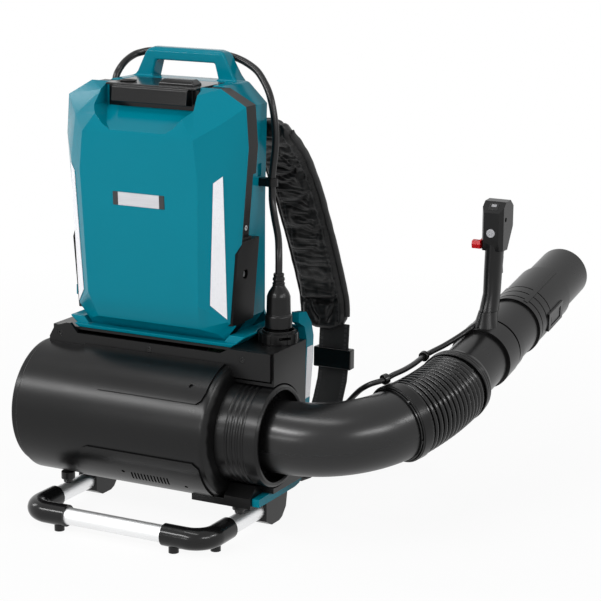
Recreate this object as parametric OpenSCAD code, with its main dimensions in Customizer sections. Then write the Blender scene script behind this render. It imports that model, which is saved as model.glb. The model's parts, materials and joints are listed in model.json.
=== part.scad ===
// Backpack leaf blower with a battery power pack, an axial fan and a swinging duct.
// X runs along the fan from intake to outlet, +Y is the wearer's forward side, +Z is up.
// The origin is on the ground, under the fan's axis and in the power pack's middle plane.

/* [Power pack] */
// Widest width of the pack
pack_w = 262; // [240:2:290]
// Width of the pack across its shoulders
shoulder_w = 255; // [240:1:260]
// Width of the pack's flat top
pack_top_w = 185; // [176:1:192]
// Width where the lower corners start
pack_low_w = 226; // [210:2:240]
// Width of the pack's base
pack_base_w = 196; // [170:2:206]
// Height of the pack's shells
pack_h = 312; // [305:1:340]
// How far the widest line lies below the pack's top
wide_drop = 69; // [60:1:90]
// How far the shoulders lie below the pack's top
shoulder_drop = 20; // [14:1:30]
// Height of the lower corners above the base
pack_low_h = 19; // [10:1:30]
// Depth of the front shell
shell_d = 45; // [40:1:55]
// Depth of the black band between the shells
band_d = 27; // [16:1:32]
// Depth of the rear shell
rear_d = 62; // [55:1:70]
// Width of the rear shell at its shoulders
rear_w = 215; // [208:1:224]
// How far the rear shell stands in at its foot
rear_inset = 10.5; // [9.5:0.5:14]
// Wall of the pack's shells
pack_wall = 4; // [3:0.5:6]
// Height of the blank plate's middle above the base
plate_h = 174; // [120:1:190]
// Diameter of one battery cell
cell_dia = 21; // [18:0.5:21.5]
// Length of one battery cell
cell_len = 70; // [60:1:70]

/* [Control panel] */
// Width of the control panel's bar
bar_w = 108; // [90:1:112]
// Height of the bar's face
bar_h = 19; // [14:1:22]
// Width of the control panel with its end caps
panel_w = 130; // [124:1:134]
// Width of the raised pad button
pad_w = 50; // [40:1:56]
// Depth of the raised pad button
pad_d = 20; // [14:1:24]
// Travel of the pad button
pad_travel = 1.5; // [1:0.1:2]

/* [Carry handle] */
// Width of the handle along its top
handle_top_w = 116; // [110:1:124]
// Width of the handle where its legs meet the pack
handle_waist_w = 140; // [134:1:150]
// Width of the handle at its flared feet
handle_foot_w = 202; // [180:2:206]
// Height of the handle above the pack's top
handle_h = 37; // [34:1:50]
// Thickness of the handle's bar
handle_bar = 16; // [12:0.5:18]
// Depth of the handle's bar
handle_d = 22; // [16:1:26]
// Width of the finger opening at its top
grip_gap_w = 85; // [75:1:95]
// Width of the finger opening at its bottom
grip_gap_base_w = 99; // [88:1:110]

/* [Fan housing] */
// Height of the fan's axis above the ground
axis_z = 134; // [130:1:145]
// Outer radius of the fan housing
fan_r = 87; // [85:0.5:90]
// Wall of the fan housing
fan_wall = 4; // [3:0.5:5]
// Length of the housing left of the middle
fan_left = 161; // [156:1:166]
// Place of the housing's rounded right shoulder
fan_right = 118; // [112:1:124]
// Outer radius of the intake ring
intake_r = 82; // [80:0.5:82]
// Length of the intake ring
intake_len = 10; // [8:0.5:14]
// Outer radius of the outlet sleeve
sleeve_r = 64; // [61:0.5:67]
// Bore radius of the outlet sleeve
sleeve_bore = 57; // [55:0.5:58]
// Place of the outlet's mouth
mouth_x = 177; // [174:1:190]
// Number of grooves round the outlet sleeve
sleeve_grooves = 4; // [2:1:5]
// Number of fan blades
blade_count = 9; // [5:1:11]
// Pitch of the fan blades in degrees
blade_pitch = 40; // [30:1:50]
// Number of fixed vanes behind the fan
vane_count = 7; // [5:1:9]
// Radius of the motor's pod
pod_r = 34; // [32:0.5:38]
// Running gap between the blade tips and the housing
tip_gap = 2; // [1.5:0.1:3]
// Height of the joint flange's top above the ground
flange_top = 234; // [231:0.5:236]
// Place of the joint between the cover and the case
joint_y = -12; // [-16:0.5:-8]

/* [Case and frame] */
// Place of the case's right side
case_right = 173; // [170:0.5:175]
// Height of the case's top
case_top = 241; // [238:0.5:244]
// Depth of the case behind the fan's axis
case_back = 72; // [68:0.5:74]
// Wall of the case
case_wall = 3; // [2.5:0.5:4]
// Thickness of the back frame's sheet
frame_sheet = 4; // [3:0.5:5]
// Outer width of the back frame
frame_w = 332; // [326:2:338]
// Thickness of the back frame's side cheeks
cheek_t = 10; // [6:0.5:12]
// Floor thickness of the pack's tray
tray_floor = 5; // [4:0.5:7]
// Height of the tray's rim above its floor
tray_rim = 9; // [8:0.5:12]

/* [Stand] */
// Diameter of the stand's aluminium tube
tube_dia = 22; // [18:0.5:24]
// Wall of the stand's tube
tube_wall = 1.6; // [1.2:0.1:2.5]
// Height of the tube's centre above the ground
tube_z = 21; // [20:0.5:24]
// Half the distance between the side tubes
stand_half = 128; // [124:1:136]
// Place of the front tube ahead of the fan's axis
front_tube_y = 104; // [98:1:112]
// Bend radius of the stand's corners
corner_bend = 26; // [22:1:30]
// Wall of the moulded corners
corner_wall = 3; // [2:0.5:4]
// Length of each corner's straight sleeves
corner_sleeve = 31; // [24:1:36]

/* [Duct] */
// Outer radius of the elbow pipe
elbow_r = 45.5; // [42:0.5:48]
// Wall of the duct's pipes
duct_wall = 3; // [2:0.5:4]
// Place where the elbow starts to bend
bend_start = 188; // [184:1:196]
// Bend radius of the elbow
elbow_bend = 122; // [115:1:130]
// Angle of the elbow's bend
elbow_angle = 68; // [60:1:72]
// Length of the flexible hose along its centre
hose_len = 130; // [110:1:150]
// Radius of the hose's core
hose_core = 45; // [43.5:0.5:47]
// Outer radius of the hose's ribs at the elbow end
hose_r = 49; // [48.5:0.5:51]
// Outer radius of the hose's ribs at the pipe end
hose_end_r = 47; // [46.5:0.5:49]
// Number of ribs on the hose
rib_count = 13; // [9:1:14]
// Outer radius of the front pipe
pipe_r = 38; // [36:0.5:40]
// Length of the front pipe
pipe_len = 132; // [124:1:140]
// Length of the extension from the coupling to the nozzle
extension_len = 56; // [50:1:64]
// Outer radius of the nozzle's sleeve
nozzle_r = 40.5; // [40:0.5:43]
// Length of the nozzle's raised sleeve
nozzle_sleeve = 118; // [100:1:130]
// Outer radius of the nozzle's tip
tip_r = 37; // [35:0.5:38]
// Length of the plain tip
tip_len = 80; // [60:1:100]
// Rise of the whole duct above level, in degrees
duct_rise = 11; // [8:0.5:14]

/* [Control handle] */
// Place of the handle's clamp behind the coupling
clamp_back = 36; // [32:1:44]
// Width of the clamp's ring along the pipe
clamp_w = 34; // [28:1:38]
// Thickness of the clamp's ring
clamp_t = 4; // [3:0.5:5]
// Width of the grip
grip_w = 22; // [20:0.5:25]
// Depth of the grip
grip_d = 30; // [28:0.5:34]
// Height of the grip's middle above the pipe's axis
grip_low = 58; // [54:1:62]
// Height of the head's underside above the pipe's axis
head_low = 141; // [136:1:146]
// Height of the head's top above the pipe's axis
head_top = 202; // [198:1:208]
// Width of the head
head_w = 30; // [28:0.5:34]
// Depth of the head
head_d = 44; // [40:0.5:48]

/* [Harness] */
// Width of each shoulder strap
strap_w = 70; // [60:1:76]
// Thickness of each shoulder strap
strap_t = 20; // [14:1:24]
// Place of each strap's middle from the machine's middle
strap_x = 100; // [90:1:104]
// Width of the webbing
web_w = 44; // [38:1:50]
// Width of the back pad
back_pad_w = 120; // [100:2:120]
// Thickness of the back pad
back_pad_t = 18; // [12:1:24]

/* [Leads] */
// Diameter of the power lead
lead_dia = 9; // [7:0.5:10]
// Diameter of the control cable
cable_dia = 7; // [5:0.5:8]
// Radius of the plug's lock ring
ring_r = 24.5; // [22:0.5:25]
// Height of the plug above the case
plug_h = 87; // [76:1:96]

/* [Hidden] */

// Fine circles for every round form
$fn = 96;
// Gap where soft or moving pieces pass each other
clear = 0.3;
// Radial gap of a running fit
run_fit = 0.05;
// Small overlap that keeps a cut open
over = 1;

// ---- colours ----
teal = "#00808c";
dark = "#26282a";
gloss = "#15161a";
fabric = "#1b1c1e";
alloy = "#d8dadb";
steel = "#b9bcbe";

// ---- places worked out from the sizes ----
tube_r = tube_dia / 2;
corner_r = tube_r + corner_wall;
tray_top = case_top + tray_floor;
pack_z = tray_top + clear;
pack_back = band_d + rear_d;
panel_deck = pack_z + pack_h;
handle_y0 = pack_back - handle_d + 3;
pack_wide_h = pack_h - wide_drop;
shoulder_h = pack_h - shoulder_drop;
// Rear edge of the control deck, ahead of the handle
deck_back = handle_y0 - 12;
// Height of the rear shell's shoulders above the base
rear_shoulder = pack_h - 26;
hollow_w = pack_low_w - 48;
hollow_y = 24 - shell_d;
hollow_z = pack_z + 44;
hollow_h = pack_h - 118;
hose_turn = 90 - elbow_angle;
hose_bend = hose_len / (hose_turn * PI / 180);
elbow_end_x = bend_start + elbow_bend * sin(elbow_angle);
elbow_end_y = elbow_bend * (1 - cos(elbow_angle));
pipe_x = elbow_end_x + hose_bend * (1 - sin(elbow_angle));
pipe_y = elbow_end_y + hose_bend * cos(elbow_angle);
coupling_y = pipe_y + pipe_len;
nozzle_y = coupling_y + extension_len;
tip_y = nozzle_y + nozzle_sleeve + tip_len;
clamp_y = coupling_y - clamp_back;
frame_left = -frame_w / 2;
case_left = 11 - fan_left;
frame_right = frame_w / 2;

// ================= shared helpers =================

// Frame of the swinging duct: x along the fan, y along the raised duct
module duct() {
  translate([0, 0, axis_z]) rotate([duct_rise, 0, 0]) children();
}

// Frame of the control handle: upright, on the pipe's axis at the clamp
module grip_frame() {
  duct() translate([pipe_x, clamp_y, 0]) rotate([-duct_rise, 0, 0]) children();
}

// Cylinder along X from x0 to x1
module rod_x(r, x0, x1) {
  translate([x0, 0, 0]) rotate([0, 90, 0]) cylinder(r = r, h = x1 - x0);
}

// Cylinder along Y from y0 to y1
module rod_y(r, y0, y1) {
  translate([0, y0, 0]) rotate([-90, 0, 0]) cylinder(r = r, h = y1 - y0);
}

// Tube along Y
module tube_y(r, wall, y0, y1) {
  difference() {
    rod_y(r, y0, y1);
    rod_y(r - wall, y0 - over, y1 + over);
  }
}

// Block given by its two corners
module block(low, high) {
  translate(low) cube([for (k = [0:2]) high[k] - low[k]]);
}

// Sweeps an outline in the YZ plane along X
module along_x(x0, x1) {
  translate([x0, 0, 0]) rotate([90, 0, 90]) linear_extrude(x1 - x0) children();
}

// Sweeps an outline in the XZ plane along Y
module along_y(y0, y1) {
  translate([0, y1, 0]) rotate([90, 0, 0]) linear_extrude(y1 - y0) children();
}

// Both mirror copies about the middle plane
module both_sides() {
  children();
  mirror([1, 0, 0]) children();
}

// Skin through rings of equal length, each symmetric about X = 0, closed by strips across
module loft(rings) {
  n = len(rings[0]);
  last = len(rings) - 1;
  points = [for (ring = rings) for (p = ring) p];
  walls = [for (k = [0:last - 1]) for (i = [0:n - 1])
    [(k + 1) * n + i, (k + 1) * n + (i + 1) % n, k * n + (i + 1) % n, k * n + i]];
  near_cap = [for (i = [0:n / 2 - 2]) [i + 1, n - 2 - i, n - 1 - i, i]];
  far_cap = [for (i = [0:n / 2 - 2])
    [last * n + i, last * n + n - 1 - i, last * n + n - 2 - i, last * n + i + 1]];
  polyhedron(points, concat(walls, near_cap, far_cap), convexity = 4);
}

// Full ring from its right-hand half
function mirrored(half) = concat(half,
  [for (i = [len(half) - 1:-1:0]) [-half[i][0], half[i][1], half[i][2]]]);

// ================= power pack =================

// Right half of the pack's outline, from the base up
function pack_half() = [
  [pack_base_w / 2, pack_z],
  [pack_low_w / 2, pack_z + pack_low_h],
  [pack_w / 2, pack_z + pack_wide_h],
  [shoulder_w / 2, pack_z + shoulder_h],
  [pack_top_w / 2, pack_z + pack_h]
];

// How far the side crease stands in, up and forward from each outline corner
side_crease = [[6, 9, 8], [5, 8, 13], [22, -31, 25], [24.5, -21, 23], [26.5, -9, 18]];
// The same for the front panel's crease, forward as a part of the shell's depth
front_crease = [[24, 16, 0.5], [33, 30, 0.8], [46.7, -36, 0.97], [48.5, -38, 1], [34.5, -30, 0.92]];

// Closed outline of the pack, stood in by d
module pack_outline(d) {
  half = [for (p = pack_half()) [p[0] - d, p[1]]];
  inner = [for (i = [0:4]) [half[i][0], half[i][1] + (i == 0 ? d : i == 4 ? -d : 0)]];
  polygon(concat(inner, [for (i = [4:-1:0]) [-inner[i][0], inner[i][1]]]));
}

// Hollow for the cells, shared by the three pack shells
module pack_hollow() {
  block([-hollow_w / 2, hollow_y, hollow_z], [hollow_w / 2, pack_back - 8, hollow_z + hollow_h]);
}

// Right half of the rear shell's outline, nearly upright at the sides
function rear_half() = [
  [pack_base_w / 2 - rear_inset, pack_z],
  [pack_low_w / 2 - rear_inset, pack_z + pack_low_h],
  [rear_w / 2, pack_z + rear_shoulder],
  [pack_top_w / 2 - 12, pack_z + pack_h]
];

// Side face of the rear shell at height h above the base
function rear_side(h) = lookup(h, [for (p = rear_half()) [p[1] - pack_z, p[0]]]);
// Side edge of the whole pack at height h above the base
function pack_side(h) = lookup(h, [for (p = pack_half()) [p[1] - pack_z, p[0]]]);

// Space that the control panel fills, with a slit round it
module panel_space(gap) {
  block([-panel_w / 2 - gap, -4 - gap, panel_deck - 30 - gap],
    [panel_w / 2 + gap, deck_back + gap, panel_deck + 40]);
}

module pack_front_shell() color(teal) {
  half = pack_half();
  ring_a = [for (p = half) [p[0], 0, p[1]]];
  ring_b = [for (i = [0:4]) [half[i][0] - side_crease[i][0], -side_crease[i][2],
    half[i][1] + side_crease[i][1]]];
  ring_c = [for (i = [0:4])
    [half[i][0] - front_crease[i][0], -shell_d * front_crease[i][2], half[i][1] + front_crease[i][1]]];
  difference() {
    loft([mirrored(ring_a), mirrored(ring_b), mirrored(ring_c)]);
    pack_hollow();
    // scooped recess below the control bar
    intersection() {
      along_y(-shell_d - over, over)
        polygon([[-38, panel_deck - 54], [38, panel_deck - 54], [50, panel_deck - 47],
          [70, panel_deck - 26],
          [68, panel_deck + over], [-68, panel_deck + over], [-70, panel_deck - 26],
            [-50, panel_deck - 47]]);
      along_x(-80, 80)
        polygon([[-shell_d - 2, panel_deck - 55], [-3, panel_deck - 28], [-3, panel_deck + over],
          [-shell_d - 2, panel_deck + over]]);
    }
    panel_space(clear);
    // room for the band's lower side covers
    band_covers(clear);
    // shallow seat of the blank plate
    plate_seat() block([-37, -5, -8.5], [37, 2, 8.5]);
  }
}

// Closed ring that follows the pack's outline, from depth outer to the band's inner face
module band_ring(y0, y1, outer, room) difference() {
  along_y(y0, y1) pack_outline(outer);
  along_y(y0 - over, y1 + over) pack_outline(2 + pack_wall * 2 + room);
}

// Height of the side covers' top above the base
cover_top = 126;
// Front and rear edges of the side covers
cover_front = -8;
cover_rear = band_d + 18;

// Broad lower part of the band on both sides, with a slanted step at its front
module band_covers(room) intersection() {
  band_ring(cover_front - room, cover_rear + room, room > 0 ? -3 : 0.5, room);
  both_sides() along_x(pack_low_w / 2 - 14, pack_w)
    polygon([[cover_front - room, pack_z + pack_low_h + 2 - room],
    [cover_rear + room, pack_z + pack_low_h + 2 - room], [cover_rear + room, pack_z + cover_top + room],
    [2, pack_z + cover_top + room], [cover_front - room, pack_z + cover_top - 14 + room]]);
}

module pack_band() color(dark) difference() {
  union() {
    band_ring(0, band_d, 2, 0);
    band_covers(0);
  }
  panel_space(clear);
  // long recess in each side above the covers
  both_sides() intersection() {
    difference() {
      along_y(7, band_d + over) pack_outline(-2);
      along_y(0, band_d + 2) pack_outline(6);
    }
    block([80, 0, pack_z + cover_top + 4], [pack_w, band_d + 2, pack_z + cover_top + 82]);
  }
  // screw pits
  both_sides() for (p = band_screw_places()) translate([pack_side(p[1]) - p[2], p[0], pack_z + p[1]])
    rod_x(p[3], 0, 20);
}

// Band's screws on the right side: place in depth, height, depth of the pit's floor, pit's radius
function band_screw_places() = [
  [16, cover_top - 43, 6, 6],
  [16.5, cover_top + 15, 7.5, 4]
];

module band_screws() color(steel) both_sides()
  for (p = band_screw_places()) translate([pack_side(p[1]) - p[2] + clear, p[0], pack_z + p[1]])
    difference() {
    rod_x(3.4, 0, 2.6);
    rod_x(1.4, 1, 4);
  }

// Frame-shaped handle in the XZ plane
module handle_outline() {
  top = panel_deck + handle_h;
  foot = panel_deck - 22;
  difference() {
    half = [[handle_foot_w / 2, foot], [handle_foot_w / 2 - 15, panel_deck - 13],
      [handle_waist_w / 2, panel_deck + 6],
      [handle_top_w / 2, top - 7], [handle_top_w / 2 - 3, top - 3], [handle_top_w / 2 - 9, top]];
    polygon(concat(half, [for (i = [5:-1:0]) [-half[i][0], half[i][1]]]));
    polygon([[-grip_gap_base_w / 2, panel_deck - 5], [grip_gap_base_w / 2, panel_deck - 5],
      [grip_gap_w / 2, top - handle_bar], [-grip_gap_w / 2, top - handle_bar]]);
  }
}

module pack_rear_shell() color(teal) difference() {
  union() {
    difference() {
      along_y(band_d, pack_back) {
        half = rear_half();
        polygon(concat(half, [for (i = [3:-1:0]) [-half[i][0], half[i][1]]]));
      }
      // open space behind the back wall's ribs
      pack_hollow();
    }
    // carry handle with chamfered long edges
    intersection() {
      along_y(handle_y0, handle_y0 + handle_d) handle_outline();
      along_x(-handle_foot_w / 2, handle_foot_w / 2)
        polygon([[handle_y0, 0], [handle_y0 + handle_d, 0],
          [handle_y0 + handle_d, panel_deck + handle_h - 6],
          [handle_y0 + handle_d - 2, panel_deck + handle_h - 2],
            [handle_y0 + handle_d - 6, panel_deck + handle_h],
          [handle_y0 + 6, panel_deck + handle_h], [handle_y0 + 2, panel_deck + handle_h - 2],
          [handle_y0, panel_deck + handle_h - 6]]);
    }
  }
  panel_space(clear);
  // notch in the rail beside the lead's clip
  both_sides() block([rear_w / 2 - 4, pack_back - 22, pack_z + 196],
    [rear_w / 2 + 2, pack_back - 12, pack_z + 212]);
  // seat of the lead's gland on the left shoulder
  translate(gland_top()) {
    translate([0, 0, -12]) cylinder(r = 7, h = 30);
    translate([0, 0, 1 - clear]) cylinder(r = 9 + clear, h = 30);
  }
}

// Rows and columns of cells that fill the hollow
module cell_block() color("#6aa84f") {
  pitch = cell_dia + 0.8;
  columns = floor(hollow_w / pitch);
  rows = floor(hollow_h / pitch);
  for (i = [0:columns - 1]) for (j = [0:rows - 1])
    translate([(i - (columns - 1) / 2) * pitch, hollow_y + clear,
      hollow_z + clear - 0.4 + (j + 0.5) * pitch])
      rotate([-90, 0, 0]) cylinder(d = cell_dia, h = cell_len);
}

module battery_board() color("darkgreen") {
  board_y = hollow_y + 2 * clear + cell_len;
  block([6 - hollow_w / 2, board_y, hollow_z + 6],
    [hollow_w / 2 - 6, board_y + 2, hollow_z + hollow_h - 6]);
  for (x = [-hollow_w / 3, 0, hollow_w / 3])
    block([x - 14, board_y + 2, hollow_z + 26], [x + 14, board_y + 10, hollow_z + 66]);
}

module control_panel() color(gloss) difference() {
  union() {
    block([-panel_w / 2, -4, panel_deck - 30], [panel_w / 2, deck_back, panel_deck - 3]);
    // deck over the pack's top
    block([-panel_w / 2, -12, panel_deck - 3], [panel_w / 2, deck_back, panel_deck]);
    // bar with its slanted face
    along_x(-bar_w / 2, bar_w / 2) polygon([[-4, panel_deck - 4 - bar_h], [-18, panel_deck - 3 - bar_h],
      [-15, panel_deck - 4], [-13, panel_deck - 3], [-4, panel_deck - 3]]);
  }
  // well of the pad button
  block([pad_x0() - clear, 2 - clear, panel_deck - 4],
    [pad_x0() + pad_w + clear, 2 + pad_d + clear, panel_deck + over]);
}

// Left edge of the pad button
function pad_x0() = 3;

module pad_button() color(dark) {
  h0 = panel_deck - 4 + pad_travel + clear;
  x0 = pad_x0();
  hull() {
    block([x0, 2, h0], [x0 + pad_w, 2 + pad_d, panel_deck + 2]);
    block([x0 + 5, 6, h0], [x0 + pad_w - 5, 2 + pad_d - 2, panel_deck + 7]);
  }
}

// Frame of the blank plate: on the front panel, tilted with it
module plate_seat() {
  low = front_crease[1];
  high = front_crease[2];
  z0 = pack_z + pack_low_h + low[1];
  z1 = pack_z + pack_wide_h + high[1];
  z = pack_z + plate_h;
  lean = shell_d * (high[2] - low[2]);
  translate([0, -shell_d * low[2] - lean * (z - z0) / (z1 - z0), z])
    rotate([atan(lean / (z1 - z0)), 0, 0]) children();
}

module blank_plate() color("whitesmoke") plate_seat() difference() {
  block([-36.7, -0.6, -8.2], [36.7, 1.7, 8.2]);
  both_sides() block([29, -over, -9], [30, -0.2, 9]);
}

// Reflective strips on the side facets, between the two creases
module reflector_strips() color("white") {
  half = pack_half();
  outer = [for (i = [1, 2]) [half[i][0] - side_crease[i][0], -side_crease[i][2],
    half[i][1] + side_crease[i][1]]];
  inner = [for (i = [1, 2])
    [half[i][0] - front_crease[i][0], -shell_d * front_crease[i][2], half[i][1] + front_crease[i][1]]];
  mix = function (a, b, t) a + (b - a) * t;
  low_out = mix(outer[0], outer[1], 0.02);
  high_out = mix(outer[0], outer[1], 0.99);
  low_in = mix(mix(inner[0], inner[1], 0.02), mix(outer[0], outer[1], 0.1), 0.42);
  high_in = mix(mix(inner[0], inner[1], 0.88), high_out, 0.62);
  normal = cross(high_out - low_out, low_in - low_out);
  up = normal / norm(normal) * (normal[1] > 0 ? -1 : 1);
  corners = [low_out, high_out, high_in, low_in];
  both_sides() hull() polyhedron(
    concat([for (c = corners) c + up * clear], [for (c = corners) c + up * 0.9]),
    [[0, 1, 2, 3], [7, 6, 5, 4], [0, 4, 5, 1], [1, 5, 6, 2], [2, 6, 7, 3], [3, 7, 4, 0]]);
  // strips on the back frame's cheeks
  for (x = [frame_left - 0.6, frame_right + 0.1])
    along_x(x, x + 0.5) polygon([[89, 226], [104, 226], [103, 205], [97, 160], [84, 160], [87, 200]]);
}

// ================= leads =================

// Where the power lead leaves the pack, on the left shoulder of the rear shell
function gland_top() = [13.5 - rear_w / 2, band_d + 29, pack_z + pack_h - 16];
// Axis of the plug on the case
plug_x = 148;
plug_y = 46;

// Route of the power lead: gland, behind the handle, down the right rail, into the plug
lead_route = [
  [-94, 56, 547], [-94, 57.5, 556], [-92.5, 63, 565], [-91, 75, 574], [-88, 89, 580.5], [-81, 97, 584],
  [-60, 98.5, 587.5], [0, 98.5, 589], [50, 98, 586.5], [84, 93, 575.5], [103, 87.5, 560], [119, 79, 536],
  [127, 76, 492], [122, 76, 443], [122, 76, 427], [123, 75, 411], [129, 70, 392], [140, 59, 370],
  [147, 48, 349], [148, 46, 326]
];

// Route of the control cable from the handle's foot to the rear tie, over the hose
cable_front_route = [
  [316, 284, 232], [309.5, 268, 226], [303, 252, 220], [294, 228, 213], [287, 204, 209],
    [285, 185.5, 207.4],
  [287, 165, 207], [288, 143, 206], [287, 118, 205], [284.5, 95, 204.5], [283, 82.5, 203.4],
    [281.3, 78.2, 202.6]
];

// Route of the control cable from the rear tie to the gland on the back frame
cable_rear_route = [
  [280.4, 75.8, 202.2], [278.7, 71.5, 201.3], [267, 65.5, 197], [253, 68, 188], [241, 73, 177],
    [229, 79, 165],
  [215, 84, 154], [200, 86, 146], [187, 86, 142], [174.4, 86, 142]
];

// Catmull-Rom point between b and c
function curve(a, b, c, d, t) = 0.5 * (2 * b + (c - a) * t + (2 * a - 5 * b + 4 * c - d) * t * t
  + (3 * b - a - 3 * c + d) * t * t * t);
// Route with one extra point in the middle of each span
function smooth(p) = let (n = len(p)) concat(
  [for (i = [0:n - 2]) each [p[i], curve(p[max(i - 1, 0)], p[i], p[i + 1], p[min(i + 2, n - 1)], 0.5)]],
  [p[n - 1]]);
function unit(v) = v / norm(v);
// Direction of the route at each point
function tangents(p) = [for (i = [0:len(p) - 1]) unit(p[min(i + 1, len(p) - 1)] - p[max(i - 1, 0)])];
// Side vectors carried along the route without twisting
function sides(t, i, s) = i >= len(t) ? [] :
  let (next = unit(s - (s * t[i]) * t[i])) concat([next], sides(t, i + 1, next));

// Round tube along a route
module cord(route, dia, faces) {
  p = smooth(route);
  t = tangents(p);
  s = sides(t, 0, abs(t[0][2]) > 0.8 ? [1, 0, 0] : [0, 0, 1]);
  n = len(p);
  points = [for (i = [0:n - 1]) for (k = [0:faces - 1])
    p[i] + dia / 2 * (cos(k * 360 / faces) * s[i] + sin(k * 360 / faces) * cross(t[i], s[i]))];
  walls = [for (i = [0:n - 2]) for (k = [0:faces - 1])
    [i * faces + k, (i + 1) * faces + k, (i + 1) * faces + (k + 1) % faces, i * faces + (k + 1) % faces]];
  polyhedron(points, concat([[for (k = [0:faces - 1]) k]], walls,
    [[for (k = [faces - 1:-1:0]) (n - 1) * faces + k]]), convexity = 6);
}

module power_lead() color(dark) cord(lead_route, lead_dia, 10);

module lead_gland() color(dark) translate([gland_top()[0], gland_top()[1], 0]) {
  difference() {
    union() {
      translate([0, 0, pack_z + pack_h - 28 + clear]) cylinder(r = 6.8, h = 14);
      translate([0, 0, pack_z + pack_h - 15]) cylinder(r = 9, h = 6);
    }
    translate([0, 0, pack_z + pack_h - 12]) cylinder(d = lead_dia + 2 * clear, h = 20);
  }
}

// Place and height of the clip that holds the lead to the pack's side
clip_at = [122, 76];
clip_h = 184;

module lead_clip() color(dark) translate([clip_at[0], clip_at[1], pack_z + clip_h]) difference() {
  union() {
    cylinder(r = lead_dia / 2 + 3, h = 10);
    block([rear_side(clip_h + 10) + 0.05 - clip_at[0], -6, 0], [0, 6, 10]);
  }
  translate([0, 0, -over]) cylinder(r = lead_dia / 2 + clear, h = 12);
}

module plug_body() color(dark) translate([plug_x, plug_y, 0]) difference() {
  top = case_top + plug_h;
  rotate_extrude() polygon([[0, case_top + 7], [13, case_top + 7], [13, case_top + 17],
    [17, case_top + 19],
    [17.3, case_top + 33], [16.3, case_top + 35], [15.3, case_top + 36], [14.8, top - 29],
      [13.4, top - 25],
    [12.5, top - 23], [8, top - 16], [7.6, top - 14], [8, top - 12], [6.8, top - 11.5], [6.8, top - 9],
      [7.7, top - 8.5],
    [7.4, top - 5.5], [6.4, top - 5], [6.4, top - 3], [6.8, top - 2.5], [6.5, top], [0, top]]);
  translate([0, 0, case_top + plug_h - 3]) cylinder(d = lead_dia + 2 * clear, h = 6);
}

module lock_ring() color(dark) translate([plug_x, plug_y, case_top + clear]) difference() {
  union() {
    cylinder(r = ring_r, h = 13);
    translate([0, 0, 13]) cylinder(r = ring_r - 4, h = 3);
    for (a = [0:30:330]) rotate(a) block([ring_r - 1.5, -2.5, 1], [ring_r + 0.8, 2.5, 12]);
  }
  translate([0, 0, -over]) cylinder(r = 13 + run_fit, h = 20);
  translate([0, 0, 5]) cylinder(r = 19.6, h = 20);
  // pair of finger slots
  for (a = [-42, 138]) rotate(a) block([ring_r - 7, -8, 6.5], [ring_r + 3, 8, 10]);
}

module plug_socket() color(gloss) translate([plug_x, plug_y, 0]) difference() {
  union() {
    translate([0, 0, case_top - 22]) cylinder(r = 13, h = 29);
    translate([0, 0, case_top - 22]) cylinder(r = 17, h = 19 - clear);
  }
  for (a = [0:90:270]) rotate(a) translate([6, 0, case_top - 4]) cylinder(r = 2, h = 14);
}

// ================= blower =================

// Outer contour of the fan housing as radius over length
module housing_profile() {
  polygon([[-fan_left, 0], [-fan_left, fan_r - 2.5], [-fan_left + 2.5, fan_r], [fan_right - 10, fan_r],
    [fan_right - 5, fan_r - 2], [fan_right - 2, fan_r - 6], [fan_right, fan_r - 13], [fan_right, 0]]);
}

// Turned solid about the fan's axis from a radius-over-length outline
module turned() {
  translate([0, 0, axis_z]) rotate([0, 90, 0]) rotate_extrude() rotate(90) mirror([0, 1, 0])
    children();
}

// Bore of the fan and of the outlet's seat
module fan_bore() {
  translate([0, 0, axis_z]) {
    rod_x(fan_r - fan_wall, -fan_left - over, fan_right - 6);
    rod_x(sleeve_r + 1.5 + clear, fan_right - 7, mouth_x + 20);
  }
}

// Height of the underside of the block over the outlet
block_low = axis_z + sleeve_r + 8;
// Wall of the collar that carries the outlet sleeve, let a little into the case's walls
collar_t = 5.7;

// Screw places on the joint flange: left tab, middle, right block
flange_screws = [[-137, 232], [-3, 226], [131, 229]];

// Front half of the drum with its flange, left tab and right block
module fan_cover() color(dark) difference() {
  union() {
    intersection() {
      turned() housing_profile();
      block([-200, -120, 0], [200, joint_y - clear, 260]);
    }
    along_y(joint_y - 5, joint_y - clear) difference() {
      polygon([[-153, 205], [-153, 226], [-145, 240], [-127, 246], [-121, 246], [-110, flange_top],
        [100, flange_top],
        [112, case_top - clear], [case_right - 3, case_top - clear], [case_right - 3, block_low],
          [110, block_low], [104, 205]]);
      translate([0, axis_z]) circle(r = fan_r - 3);
    }
  }
  fan_bore();
  for (p = flange_screws) translate([p[0], 0, p[1]]) rod_y(4.2, joint_y - 20, joint_y - 2.5);
  for (p = flange_screws) translate([p[0], 0, p[1]]) rod_y(2.2, joint_y - 20, joint_y + 5);
}

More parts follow.
